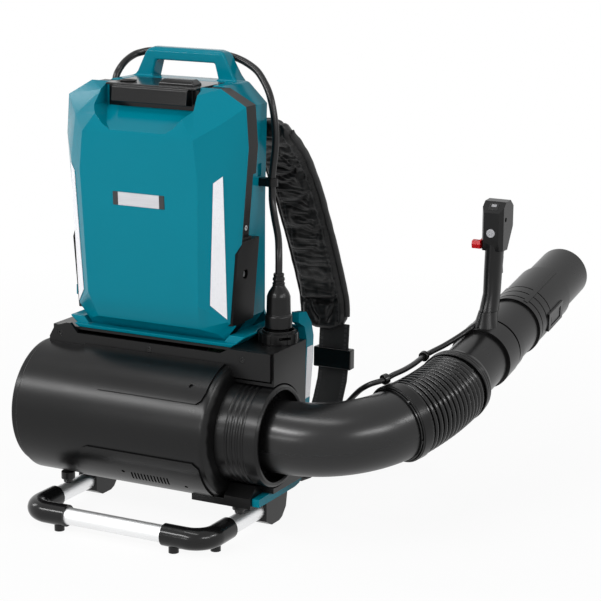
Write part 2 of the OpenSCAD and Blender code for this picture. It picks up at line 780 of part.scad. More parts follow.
// Rear case: box behind the drum, half of the drum, base under the outlet
module fan_case() color(dark) difference() {
  union() {
    difference() {
      block([case_left, joint_y, 62], [case_right, case_back, case_top]);
      block([case_left + case_wall, joint_y - over, 62 + case_wall],
        [case_right - case_wall, case_back - case_wall, case_top - case_wall]);
    }
    intersection() {
      turned() housing_profile();
      block([-200, joint_y, 0], [200, fan_r + 5, 260]);
    }
    // collar that carries the outlet sleeve
    intersection() {
      translate([0, 0, axis_z]) rod_x(sleeve_r + collar_t, fan_right - 6, case_right);
      block([0, joint_y, 0], [200, fan_r, 260]);
    }
    // bosses that carry the back frame
    for (z = boss_heights) both_sides() translate([132, 0, z])
      rod_y(8, case_back - over, frame_y(z - 8) - frame_sheet - clear);
    // base under the outlet and the drum's right end
    difference() {
      along_x(fan_right - 46, frame_right - cheek_t - clear)
        polygon([[-40, 47], [26, 47], [34, 50.2], [41.5, 50.2], [41.5, 57], [68, 57], [case_back, 59],
          [case_back, 76], [-22, 76], [-40, 60]]);
      intersection() {
        translate([0, 0, axis_z]) rod_x(fan_r + clear, 0, fan_right + clear);
        block([0, -60, 0], [200, joint_y, 200]);
      }
    }
  }
  fan_bore();
  // seat of the plug's socket
  translate([plug_x, plug_y, case_top - 10]) cylinder(r = 13 + run_fit, h = 20);
  for (p = flange_screws) translate([p[0], 0, p[1]]) rod_y(2, joint_y - over, joint_y + 12);
}

// Right edge of both covers on the drum
cover_right = fan_right - 11;
// Height of the upper panel's top edge
panel_top = 222;

module upper_panel() color(dark) difference() {
  intersection() {
    translate([0, 0, axis_z]) difference() {
      rod_x(fan_r + 2.4, -105, cover_right);
      rod_x(fan_r + clear, -110, 110);
    }
    along_y(-fan_r - 20, joint_y - 5 - clear)
      polygon([[-100, panel_top], [-88, panel_top - 5], [-62, 196], [-54, 187], [-44, 183],
      [cover_right - 9, 183], [cover_right - 3, 187], [cover_right, 196], [cover_right, panel_top]]);
  }
  translate([84, -60, 200]) rotate([-48, 0, 0]) rod_y(3, -10, 20);
}

// Lower cover with its row of slanted vents
module lower_panel() color(dark) difference() {
  intersection() {
    translate([0, 0, axis_z]) difference() {
      rod_x(fan_r + 2, -100, cover_right);
      rod_x(fan_r + clear, -110, 110);
    }
    along_y(-fan_r - 20, -44) polygon([[-84, 68], [-62, 106], [-54, 110], [cover_right - 8, 110],
      [cover_right, 103],
      [cover_right, 50], [-84, 50]]);
  }
  for (i = [0:11]) translate([2 + i * 4.7, -60, 75]) rotate([0, 14, 0])
    block([-1.1, -40, -6], [1.1, 40, 6]);
  // screw pits
  for (p = [[-9, 85], [78, 70]]) translate([p[0], -64, p[1]]) rotate([36, 0, 0]) rod_y(2.4, -20, 20);
}

module intake_ring() color(dark) turned() polygon([
  [-fan_left - intake_len, intake_r - 7], [-fan_left - intake_len, intake_r - 2],
  [-fan_left - intake_len + 2, intake_r], [-fan_left - clear, intake_r],
    [-fan_left - clear, fan_r - fan_wall - 1],
  [-fan_left + 8, fan_r - fan_wall - 1], [-fan_left + 8, intake_r - 7]]);

// Guard of rings and spokes in the intake
module intake_grille() color(dark) {
  x0 = -fan_left - intake_len + 3;
  translate([0, 0, axis_z]) {
    for (r = [22:12:70]) translate([x0, 0, 0]) rotate([0, 90, 0]) rotate_extrude()
      translate([r, 0]) square([2.4, 5]);
    difference() {
      for (a = [0:45:315]) rotate([a, 0, 0]) block([x0, -1.4, 8], [x0 + 4, 1.4, intake_r - 7 - 0.05]);
      rod_x(9, x0 - over, x0 + 6);
    }
    rod_x(16, x0, x0 + 5);
  }
}

// Outlet: cone behind the vanes, flange on the drum's shoulder, grooved sleeve and mouth
module outlet_sleeve() color(dark) {
  seat = fan_r - fan_wall - clear;
  pitch = (mouth_x - fan_right - 22) / (sleeve_grooves + 1);
  grooves = [for (i = [1:sleeve_grooves]) let (x = fan_right + 8 + i * pitch)
    each [[x - 2.2, sleeve_r], [x - 1.2, sleeve_r - 1.6], [x + 1.2, sleeve_r - 1.6],
      [x + 2.2, sleeve_r]]];
  turned() polygon(concat([[fan_right - 60, seat], [fan_right - 54, seat],
    [fan_right - 10, sleeve_bore + 5],
    [fan_right - 10, seat], [fan_right - 7, seat], [fan_right - 7, sleeve_r + 1.2],
      [fan_right + 2, sleeve_r + 1.2],
    [fan_right + 6, sleeve_r]], grooves, [[mouth_x - 3, sleeve_r], [mouth_x, sleeve_r - 2.5],
    [mouth_x, sleeve_bore + 1.5], [mouth_x - 2, sleeve_bore], [fan_right - 8, sleeve_bore],
      [fan_right - 60, seat - 2.5]]));
}

module fan_motor() color(steel) translate([0, 0, axis_z]) {
  difference() {
    rod_x(pod_r - 5, -44, 22);
    rod_x(pod_r - 11, -40, 18);
    rod_x(6 + run_fit, -60, 30);
    for (a = [0:30:330]) rotate([a, 0, 0]) block([-30, -1.5, pod_r - 7], [10, 1.5, pod_r]);
  }
  // windings
  difference() {
    rod_x(pod_r - 11 - clear, -34, 12);
    rod_x(12, -40, 20);
  }
}

module fan_shaft() color(alloy) translate([0, 0, axis_z]) {
  rod_x(6, -94, 26);
  rod_x(11.5, -32, 10);
}

// Hub with pitched flat blades, each cut to the tip circle
module impeller() color(dark) translate([0, 0, axis_z]) {
  difference() {
    union() {
      rod_x(pod_r - 2, -92, -52);
      translate([-92, 0, 0]) rotate([0, -90, 0]) cylinder(r1 = pod_r - 2, r2 = 12, h = 18);
      intersection() {
        for (k = [0:blade_count - 1]) rotate([k * 360 / blade_count, 0, 0])
          translate([-72, 0, 58]) rotate([0, 0, 90 - blade_pitch]) cube([44, 2.6, 60], center = true);
        rod_x(fan_r - fan_wall - tip_gap, -100, -44);
      }
    }
    rod_x(6 + 0.02, -96, -40);
    rod_x(pod_r - 5, -60, -40);
  }
}

// Fixed vanes, their ring and the motor's pod
module stator() color(dark) translate([0, 0, axis_z]) difference() {
  union() {
    rod_x(pod_r, -50, 40);
    translate([40, 0, 0]) rotate([0, 90, 0]) cylinder(r1 = pod_r, r2 = 10, h = 44);
    intersection() {
      for (k = [0:vane_count - 1]) rotate([k * 360 / vane_count, 0, 0])
        translate([-5, 0, 58]) rotate([0, 0, 12]) cube([56, 2.4, 60], center = true);
      rod_x(fan_r - fan_wall - clear, -46, 40);
    }
    difference() {
      rod_x(fan_r - fan_wall - clear, -34, 20);
      rod_x(fan_r - fan_wall - 2.5, -40, 30);
    }
  }
  rod_x(pod_r - 5 + 0.05, -60, 22);
  rod_x(6 + 1, -60, 50);
  rod_x(pod_r - 8, 21, 44);
}

module controller_board() color("darkgreen") {
  block([60, 20, case_top - 18], [118, 66, case_top - 16]);
  for (x = [66, 84, 102]) block([x, 26, case_top - 16], [x + 12, 50, case_top - 8]);
  for (x = [62, 114]) for (y = [24, 62]) translate([x, y, case_top - 16])
    cylinder(r = 2, h = 13 - 0.05);
}

// Screws of the joint flange
module cover_screws() color(gloss) for (p = flange_screws) translate([p[0], 0, p[1]]) difference() {
  union() {
    rod_y(4, joint_y - 5 , joint_y - 2.6);
    rod_y(1.95, joint_y - 4, joint_y + 10);
  }
  rod_y(1.6, joint_y - 7, joint_y - 4);
}

// Tray that holds the pack's foot: floor, sloping rim, low front edge
module pack_tray() color(teal) difference() {
  union() {
    hull() {
      block([-112, joint_y + 1, case_top], [112, 84, tray_top]);
      block([-pack_w / 2 + 4, joint_y - 3, tray_top + tray_rim - 2],
        [pack_w / 2 - 4, pack_back - clear, tray_top + tray_rim]);
    }
  }
  hull() {
    block([-pack_base_w / 2 - 1, -60, tray_top], [pack_base_w / 2 + 1, pack_back + 1, tray_top + over]);
    block([-pack_low_w / 2 - 2, -60, pack_z + pack_low_h - over],
      [pack_low_w / 2 + 2, pack_back + 1, pack_z + pack_low_h]);
  }
  block([-140, -60, tray_top], [140, -6, tray_top + 40]);
  // scallop round the lock ring
  translate([plug_x, plug_y, case_top - over]) cylinder(r = ring_r + 2.5, h = 60);
}

// Rear surface of the back frame below the pack, as depth over height
frame_rear = [[70, 52], [88, 66], [94, 100], [95, 134], [98, 160], [105, 205], [107, 238], [104, 250]];
function frame_y(z) = lookup(z, [for (p = frame_rear) [p[1], p[0]]]);
// Rear surface of the frame's upper plate, behind the pack
plate_back = pack_back + 1 + frame_sheet;
// Height of the frame's upper plate above the pack's base
plate_top = 238;
// Front contour of the cheeks, from the bottom up to the hooked top
cheek_front = [[73, 60], [76, 78], [76, 110], [78, 150], [85, 200], [88, 236], [82, 254], [66, 263]];
// Rear contour of the cheeks' hooked top
cheek_top = [[101, 256], [86, 273], [66, 276]];

// Heights of the bosses that join the case to the frame
boss_heights = [92, 214];

// Back frame: bent sheet over the full width, a cheek at each end and a plate behind the pack
module back_frame() color(teal) difference() {
  union() {
    rear = concat([[42, 50]], frame_rear);
    along_x(frame_left + cheek_t, frame_right - cheek_t)
      polygon(concat(rear, [for (i = [len(rear) - 1:-1:0])
        rear[i] + (i < 2 ? [0, frame_sheet] : [-frame_sheet, 0])]));
    // plate behind the pack, joined by a leaning strip
    plate = [[104, 249.9], [plate_back, 268], [plate_back, pack_z + plate_top]];
    half = pack_low_w / 2 - rear_inset;
    intersection() {
      along_x(-half, half)
        polygon(concat(plate, [for (i = [2:-1:0]) plate[i] - [frame_sheet, 0]]));
      along_y(60, 120) polygon([[-half, 240], [half, 240], [half, pack_z + plate_top - 26],
        [half - 26, pack_z + plate_top], [26 - half, pack_z + plate_top],
          [-half, pack_z + plate_top - 26]]);
    }
    for (x = [frame_left, frame_right - cheek_t]) along_x(x, x + cheek_t)
      polygon(concat([for (i = [0:6]) frame_rear[i]], cheek_top, [for (i = [7:-1:0]) cheek_front[i]]));
    // lip under the right side of the case
    along_x(frame_right - cheek_t, frame_right)
      polygon([[-36, 50], [-36, 60], [58, 61.7], [73, 61.7], [76, 56], [70, 52], [58, 50]]);
    // lugs that take the straps' hooks
    both_sides() for (x = [-11, 11]) along_x(web_x + x - 2, web_x + x + 2)
      polygon([[78, 58], [89, 68], [95, 60], [93, 52], [84, 48]]);
  }
  // room for the intake ring and the drum's left end
  translate([0, 0, axis_z]) {
    rod_x(intake_r + 1.5, frame_left - over, -fan_left + over);
    rod_x(fan_r + clear, -fan_left - clear, frame_left + cheek_t + over);
  }
  // eyes of the lugs
  both_sides() translate([0, hook_eye[0], hook_eye[1]]) rod_x(hook_r + clear, web_x - 25, web_x + 25);
  // grid of openings in the plate behind the pack
  for (x = [-60, 0, 60]) for (z = [0:2])
    block([x - 22, 60, pack_z + 44 + z * 62], [x + 22, 120, pack_z + 90 + z * 62]);
}

// Rubber blocks between the stand's side tubes and the drum on the left, the base on the right
module bumpers() color(dark) for (x = [-stand_half, stand_half]) translate([x, -18, 0]) {
  under = x > 0 ? 47 : axis_z - sqrt(pow(fan_r, 2) - 81);
  translate([0, 0, 37]) cylinder(r = 9, h = under - clear - 37);
  translate([0, 0, tube_z + tube_r + clear]) cylinder(r = 6, h = 38 - tube_z - tube_r);
}

// ================= stand =================

module front_tube() color(alloy) translate([0, -front_tube_y, tube_z]) difference() {
  rod_x(tube_r, -stand_half + corner_bend, stand_half - corner_bend);
  rod_x(tube_r - tube_wall, -stand_half, stand_half);
}

module side_tubes() color(alloy) both_sides() translate([stand_half, 0, tube_z])
  tube_y(tube_r, tube_wall, -front_tube_y + corner_bend, 48);

// One moulded corner: quarter bend, two sleeves and two feet
module stand_corner() {
  translate([stand_half - corner_bend, -front_tube_y + corner_bend, tube_z]) {
    rotate(-90) rotate_extrude(angle = 90) translate([corner_bend, 0]) difference() {
      circle(r = corner_r);
      circle(r = tube_r - tube_wall);
    }
    difference() {
      translate([0, -corner_bend, 0]) rod_x(corner_r, -corner_sleeve, 0);
      translate([0, -corner_bend, 0]) rod_x(tube_r + run_fit, -corner_sleeve - over, over);
    }
    difference() {
      translate([corner_bend, 0, 0]) rod_y(corner_r, 0, corner_sleeve);
      translate([corner_bend, 0, 0]) rod_y(tube_r + run_fit, -over, corner_sleeve + over);
    }
  }
  for (p = [[stand_half - corner_bend - 18, -front_tube_y],
    [stand_half - 2, -front_tube_y + corner_bend + 4]])
    translate([p[0], p[1], 0]) difference() {
      cylinder(r = 6.5, h = tube_z - tube_r - 1);
      translate([0, 0, -over]) cylinder(r = 2.5, h = 3);
    }
}

module stand_corners() color(gloss) both_sides() stand_corner();

// Rear feet: boots that hold the side tubes and carry the back frame
module rear_feet() color(dark) both_sides() difference() {
  along_x(stand_half - 14, stand_half + 14)
    polygon([[27, 8], [27, 34], [34, 46], [44, 49.9], [70, 49.9], [80, 46], [84, 34], [80, 14], [70, 3],
      [62, 0], [42, 0]]);
  translate([stand_half, 0, tube_z]) rod_y(tube_r + run_fit, 20, 48 + run_fit);
}

// ================= harness =================

// Middle line of a shoulder strap in the YZ plane
strap_line = [[99.6, 512], [101, 502], [110, 490], [128, 477], [150, 457], [171, 430], [190, 402],
  [208, 369], [226, 336],
  [242, 304], [256, 274], [267, 248], [270, 226], [267, 205]];
// Middle line of the webbing below it, ending at the hook's bar
web_line = [[267, 204.7], [265, 186], [264.5, 166], [264, 150], [261, 136], [249, 112], [232, 86],
  [210, 58], [186, 38], [158, 30],
  [132, 33], [107.4, 41.4]];
// Place of the webbing's middle, a little outside the strap's
web_x = strap_x + 16;
// Height of the buckles on the webbing
buckle_z = 166;
// Bar of the straps' hooks, and their eye in the frame's lugs, in the YZ plane
hook_bar = [103, 42];
hook_eye = [88, 57];
hook_r = 2.2;

// Band of even thickness along a line in the YZ plane
module band_section(line, t) {
  n = len(line);
  dir = [for (i = [0:n - 1]) unit(line[min(i + 1, n - 1)] - line[max(i - 1, 0)])];
  left = [for (i = [0:n - 1]) line[i] + t / 2 * [-dir[i][1], dir[i][0]]];
  right = [for (i = [n - 1:-1:0]) line[i] - t / 2 * [-dir[i][1], dir[i][0]]];
  polygon(concat(left, right));
}

module strap_pad() along_x(strap_x - strap_w / 2, strap_x + strap_w / 2)
  band_section(strap_line, strap_t);
module strap_pad_right() color(fabric) strap_pad();
module strap_pad_left() color(fabric) mirror([1, 0, 0]) strap_pad();

module webbing() difference() {
  union() {
    along_x(web_x - web_w / 2, web_x + web_w / 2) band_section(web_line, 3);
    translate([0, hook_bar[0], hook_bar[1]]) rod_x(hook_r + 3.3, web_x - web_w / 2, web_x + web_w / 2);
  }
  translate([0, hook_bar[0], hook_bar[1]]) rod_x(hook_r + clear, 0, 2 * strap_x);
}
module webbing_right() color(fabric) webbing();
module webbing_left() color(fabric) mirror([1, 0, 0]) webbing();

// Ladder buckle: frame with a bar, round the webbing
module strap_buckles() color(gloss) both_sides()
  translate([web_x, lookup(buckle_z, [for (i = [3:-1:0]) [web_line[i][1], web_line[i][0]]]), buckle_z])
    difference() {
    block([-web_w / 2 - 6, -6, -14], [web_w / 2 + 6, 8, 14]);
    block([-web_w / 2 - clear, -2.3, -20], [web_w / 2 + clear, 2.3, 20]);
    block([-web_w / 2 + 6, 4, -9], [web_w / 2 - 6, 20, -2]);
    block([-web_w / 2 + 6, 4, 2], [web_w / 2 - 6, 20, 9]);
  }

// Wire loops that join the webbing's ends to the lugs of the back frame
module strap_hooks() color(steel) both_sides() translate([web_x, 0, 0]) {
  half = web_w / 2 + hook_r + 1;
  translate([0, hook_bar[0], hook_bar[1]]) rod_x(hook_r, -half, half);
  translate([0, hook_eye[0], hook_eye[1]]) rod_x(hook_r, -half, half);
  for (x = [-half, half]) along_x(x - 1.5, x + 1.5) band_section([hook_bar, hook_eye], hook_r + 1);
}

// Pad between the machine and the wearer's back
module back_pad() color(fabric) {
  face = [[plate_back + clear, pack_z + plate_top - 16], [plate_back + clear, 272], [104.3, 256],
    [107.5, 240],
    [106.5, 222], [105.3, 204], [100.3, 172]];
  outer = [for (i = [len(face) - 1:-1:0]) face[i] + [back_pad_t, i > 4 ? -2 : 0]];
  along_x(-back_pad_w / 2, back_pad_w / 2) polygon(concat(face, outer));
}

// ================= duct =================

// Part of a circle's pipe about the bend centre, from one heading to another
module bent_pipe(bend, r, wall, from_heading, to_heading) {
  rotate(from_heading - 90) rotate_extrude(angle = to_heading - from_heading)
    translate([bend, 0]) difference() {
      circle(r = r);
      circle(r = r - wall);
    }
}

// Moves to a station on the hose's centre line, with y along the hose
module hose_station(s) {
  heading = elbow_angle + s / hose_len * hose_turn;
  translate([elbow_end_x + hose_bend * (sin(heading) - sin(elbow_angle)),
    elbow_end_y - hose_bend * (cos(heading) - cos(elbow_angle)), 0])
    rotate(heading - 90) children();
}

module elbow_pipe() color(dark) duct() {
  difference() {
    union() {
      rod_x(elbow_r, fan_right + 24, bend_start);
      // collar that turns in the sleeve
      rod_x(sleeve_bore - run_fit, fan_right + 24, fan_right + 32);
    }
    rod_x(elbow_r - duct_wall, fan_right + 20, bend_start + over);
  }
  translate([bend_start, elbow_bend, 0]) bent_pipe(elbow_bend, elbow_r, duct_wall, 0, elbow_angle);
}

module rear_hose_band() color(dark) duct() hose_station(4) difference() {
  union() {
    rod_y(hose_r + 1.5, -6, 7);
    rod_y(hose_r + 0.4, -8, 9);
  }
  rod_y(elbow_r + 2.4 + clear, -9, 10);
}

// Flexible hose: thin core with evenly spaced ribs that shrink towards the pipe
module flexible_hose() color(dark) duct() {
  difference() {
    union() {
      translate([bend_start + elbow_bend * sin(elbow_angle) - hose_bend * sin(elbow_angle),
        elbow_end_y + hose_bend * cos(elbow_angle), 0])
        bent_pipe(hose_bend, hose_core, 2.2, elbow_angle, 90);
      for (k = [0:rib_count - 1]) hose_station(19 + k * (hose_len - 39) / (rib_count - 1))
        rotate([-90, 0, 0]) rotate_extrude($fn = 64)
          translate([hose_r - 3 + (hose_end_r - hose_r) * k / (rib_count - 1), 0])
            circle(r = 3, $fn = 16);
    }
  }
  // cuff over the elbow's end
  hose_station(0) tube_y(elbow_r + 2.4, 2.4 - clear, -6, 16);
}

// Cuff that clamps the hose on the pipe: three raised threads and a closed front
module front_hose_band() color(dark) duct() translate([pipe_x, pipe_y, 0]) rotate([-90, 0, 0])
  rotate_extrude()
  polygon([[hose_core + 2.5 * clear, -14], [hose_r - 1.5, -14], [hose_r - 1, -13], [hose_r - 1, -10],
    [hose_r - 2.2, -9],
    [hose_r - 1.3, -8], [hose_r - 1.3, -5], [hose_r - 2.5, -4], [hose_r - 1.6, -3], [hose_r - 1.6, 0],
      [hose_r - 3.5, 2],
    [hose_r - 4.5, 7], [pipe_r + 1, 8.5], [pipe_r + run_fit, 8.5], [pipe_r + run_fit, 0.3],
      [hose_core + 2.5 * clear, 0.3]]);

module front_pipe() color(dark) duct() translate([pipe_x, 0, 0]) {
  difference() {
    union() {
      rod_y(pipe_r, pipe_y - 16, coupling_y);
      // collar inside the hose's end
      rod_y(hose_core - 3, pipe_y - 14, pipe_y - 0.3);
      // coupling ring with its locking lug
      rod_y(pipe_r + 3, coupling_y - 14, coupling_y);
      block([-9, coupling_y - 18, -pipe_r - 9], [9, coupling_y - 4, -pipe_r + 1]);
    }
    rod_y(pipe_r - duct_wall, pipe_y - 30, coupling_y + over);
  }
}

// Nozzle: spigot, extension, raised sleeve with ribs and pads, plain tip
module nozzle_pipe() color(dark) duct() translate([pipe_x, 0, 0]) {
  difference() {
    union() {
      rod_y(pipe_r + 1, coupling_y + clear, nozzle_y + over);
      rod_y(nozzle_r, nozzle_y, nozzle_y + nozzle_sleeve);
      rod_y(nozzle_r + 1.2, nozzle_y, nozzle_y + 5);
      rod_y(tip_r, nozzle_y + nozzle_sleeve - over, tip_y);
      // long ribs
      for (a = [28, 208]) rotate([0, a, 0])
        block([-3, nozzle_y + 6, nozzle_r - 1], [3, nozzle_y + nozzle_sleeve - 2, nozzle_r + 1.6]);
      // raised pads on both sides
      for (a = [96, 276]) rotate([0, a, 0])
        block([-13, nozzle_y + 34, nozzle_r - 2], [13, nozzle_y + 86, nozzle_r + 1.2]);
    }
    rod_y(tip_r - duct_wall, coupling_y - over, tip_y + over);
    // ring grooves in the sleeve's rear half
    for (k = [0:2]) difference() {
      rod_y(nozzle_r + 0.4, nozzle_y + 12 + k * 16, nozzle_y + 14 + k * 16);
      rod_y(nozzle_r - 1.2, nozzle_y, nozzle_y + nozzle_sleeve);
    }
    // shallow windows in the pads
    for (a = [96, 276]) rotate([0, a, 0])
      block([-8, nozzle_y + 42, nozzle_r + 0.2], [8, nozzle_y + 78, nozzle_r + 4]);
  }
}

// ================= control handle =================

// Bore that takes the cable's end in the foot of the handle
module cable_socket() {
  from = cable_front_route[0];
  back = cable_front_route[1] - from;
  translate(from) rotate([0, 0, atan2(back[1], back[0])])
    rotate([0, 90 - atan2(back[2], norm([back[0], back[1]])), 0])
    translate([0, 0, -1]) cylinder(d = cable_dia + 4 * clear, h = 24);
}

// Clamp ring round the pipe with the foot of the handle
module handle_clamp() color(dark) difference() {
  clamp_solid();
  cable_socket();
}

module clamp_solid() grip_frame() difference() {
  union() {
    rotate([duct_rise, 0, 0]) rod_y(pipe_r + clamp_t, -clamp_w / 2, clamp_w / 2);
    // rounded foot that flares down onto the ring
    loft([oval(33, 40, -4, 26), oval(32, 38, -3, 38), oval(27, 36, 1, 48),
      oval(grip_w + 2, grip_d + 6, 6, grip_low - clear)]);
  }
  rotate([duct_rise, 0, 0]) rod_y(pipe_r + run_fit, -60, 60);
  // room for the coupling ring ahead of the clamp
  rotate([duct_rise, 0, 0]) rod_y(pipe_r + 3 + clear, clamp_back - 14 - clear, clamp_back + 20);
  rotate([duct_rise, 0, 0]) translate([0, 0, -pipe_r - 6]) rotate([0, 90, 0])
    cylinder(r = 2.2, h = 60, center = true);
}

// Oval of the grip at one height
function oval(w, d, y, z) = mirrored([for (k = [0:13])
  let (a = -84 + k * 168 / 13) [w / 2 * cos(a), y + d / 2 * sin(a), z]]);

grip_mid_y = 18;
head_y = 28;

module handle_shell() color(dark) grip_frame() difference() {
  union() {
    loft([oval(grip_w + 2, grip_d + 6, 8, grip_low), oval(grip_w, grip_d, grip_mid_y - 2, grip_low + 22),
      oval(grip_w + 1, grip_d, grip_mid_y, grip_low + 50),
        oval(grip_w + 2, grip_d + 2, head_y - 6, head_low + 4)]);
    // head with a slanted top and chamfered front edges
    intersection() {
      along_x(-head_w / 2, head_w / 2) polygon([[head_y - head_d / 2 + 2, head_low - 4],
        [head_y - head_d / 2, head_low + 8], [head_y - head_d / 2, head_top - 14],
        [head_y - head_d / 2 + 15, head_top - 1], [head_y + 8, head_top],
          [head_y + head_d / 2, head_top - 12],
        [head_y + head_d / 2, head_low + 32], [head_y, head_low - 4]]);
      linear_extrude(head_top + 5) polygon([[-head_w / 2 + 5, head_y - head_d / 2 - over],
        [head_w / 2 - 5, head_y - head_d / 2 - over], [head_w / 2, head_y - head_d / 2 + 7],
        [head_w / 2, head_y + head_d / 2 - 4], [head_w / 2 - 4, head_y + head_d / 2 + over],
        [-head_w / 2 + 4, head_y + head_d / 2 + over], [-head_w / 2, head_y + head_d / 2 - 4],
        [-head_w / 2, head_y - head_d / 2 + 7]]);
    }
  }
  // well of the power button
  translate([0, 0, power_z]) rod_y(5.6 + run_fit, head_y - head_d / 2 - over, head_y - head_d / 2 + 4);
  // slot of the trigger in the grip's front
  block([-6 - clear, grip_mid_y + 4, trigger_z - 34], [6 + clear, grip_mid_y + 30, trigger_z + 4]);
  // pivot of the trigger
  translate([0, grip_mid_y + 9, trigger_z - 2]) rotate([0, 90, 0])
    cylinder(r = 2 + run_fit, h = grip_w - 8, center = true);
  // bore of the speed lever's pin in the left side
  translate([-head_w / 2, lever_y, lever_z]) rod_x(2.5 + run_fit, -over, 12);
  // recess of the display in the slanted top
  display_frame() block([-7, -6, -1.5], [7, 6, 6]);
  // screw pit
  translate([0, head_y - 8, head_top - 24]) rod_x(3, head_w / 2 - 3, head_w);
}

power_z = head_low + 20;
trigger_z = head_low - 8;
lever_y = head_y - 6;
lever_z = head_low + 3;

// Frame of the display: on the head's slanted top
module display_frame() translate([0, head_y - head_d / 2 + 8, head_top - 7]) rotate([41, 0, 0])
  children();

module handle_display() color("#3c4146") grip_frame() display_frame() difference() {
  block([-6.8, -5.8, -1.4], [6.8, 5.8, 0.2]);
  block([-5, -4, 0], [5, 4, 1]);
}

module power_button() color("gainsboro") grip_frame() translate([0, 0, power_z]) difference() {
  rod_y(5.6, head_y - head_d / 2 - 1.6, head_y - head_d / 2 + 2.2);
  difference() {
    rod_y(3, head_y - head_d / 2 - 2, head_y - head_d / 2 - 1.1);
    rod_y(2.2, head_y - head_d / 2 - 3, head_y - head_d / 2);
  }
}

// Trigger blade with its pivot pin
module trigger() color(gloss) grip_frame() {
  along_x(-6, 6) polygon([[grip_mid_y + 7, trigger_z - 2], [grip_mid_y + 11, trigger_z + 1.5],
    [grip_mid_y + 18, trigger_z], [grip_mid_y + 21, trigger_z - 8], [grip_mid_y + 19, trigger_z - 20],
    [grip_mid_y + 20.5, trigger_z - 30], [grip_mid_y + 16, trigger_z - 30],
      [grip_mid_y + 13, trigger_z - 14]]);
  translate([0, grip_mid_y + 9, trigger_z - 2]) rotate([0, 90, 0])
    cylinder(r = 2, h = grip_w - 8 - 2 * clear, center = true);
}

// Lever on the left of the head: pin, round hub and a ridged paddle
module speed_lever() color("red") grip_frame() translate([-head_w / 2, lever_y, lever_z]) {
  rod_x(2.5, -2, 11);
  rod_x(6, -4, -clear);
  along_x(-4, -clear) polygon([[0, 5], [-12, 5.5], [-12, -5.5], [0, -5]]);
  difference() {
    along_x(-12, -clear) polygon([[-8, 5.5], [-14, 4.5], [-15.5, 0], [-14, -5.5], [-8, -6]]);
    for (z = [-3, 0, 3]) translate([-8, -16, z]) rotate([0, 45, 0]) cube([1, 3, 1], center = true);
  }
}

// ================= control cable =================

// Loop of a tie round the cable, standing on a band of outer radius r
module tie_loop(r) {
  translate([0, 0, r + cable_dia / 2 + 3.4]) difference() {
    rod_y(cable_dia / 2 + 3.1, -3, 3);
    rod_y(cable_dia / 2 + 1.2, -4, 4);
  }
}

module rear_tie() color(dark) duct() hose_station(4) rotate([0, -24, 0]) tie_loop(hose_r + 1.5);
module front_tie() color(dark) duct() translate([pipe_x, pipe_y - 7, 0]) rotate([0, -48, 0])
  tie_loop(hose_r - 1);

module cable_front() color(dark) cord(cable_front_route, cable_dia, 8);
module cable_rear() color(dark) cord(cable_rear_route, cable_dia, 8);

module cable_gland() color(dark) translate([0, 86, 142]) difference() {
  union() {
    rod_x(8, frame_right + 0.05, frame_right + 5);
    rod_x(5.6, frame_right + 4, frame_right + 12);
  }
  rod_x(cable_dia / 2 + clear, frame_right + 8, frame_right + 14);
}

pack_front_shell();
pack_band();
pack_rear_shell();
cell_block();
battery_board();
control_panel();
pad_button();
blank_plate();
reflector_strips();
band_screws();
power_lead();
lead_gland();
lead_clip();
plug_body();
lock_ring();
plug_socket();
fan_cover();
fan_case();
upper_panel();
lower_panel();
intake_ring();
intake_grille();
outlet_sleeve();
fan_motor();
impeller();
fan_shaft();
stator();
controller_board();
cover_screws();
pack_tray();
back_frame();
bumpers();
front_tube();
side_tubes();
stand_corners();
rear_feet();
back_pad();
strap_pad_right();
strap_pad_left();
webbing_right();
webbing_left();
strap_buckles();
strap_hooks();
elbow_pipe();
rear_hose_band();
flexible_hose();
front_hose_band();
front_pipe();
nozzle_pipe();
handle_clamp();
handle_shell();
handle_display();
trigger();
speed_lever();
power_button();
rear_tie();
front_tie();
cable_front();
cable_rear();
cable_gland();
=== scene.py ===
# %% [markdown]
# # A backpack leaf blower, dressed for its portrait
# The machine has a teal battery pack on a black, drum-shaped fan housing. An elbow, a ribbed hose and a long
# pipe leave it on the right, and a padded harness hangs on its far side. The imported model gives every
# rigid piece at its true place. This notebook adds what a model of plain solids can't show: rounded edges,
# moulded plastic, woven cloth, padding and the soft light of a studio.

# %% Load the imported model
import json
import math
import bmesh
import bpy
import numpy as np
from mathutils import Matrix, Vector, noise

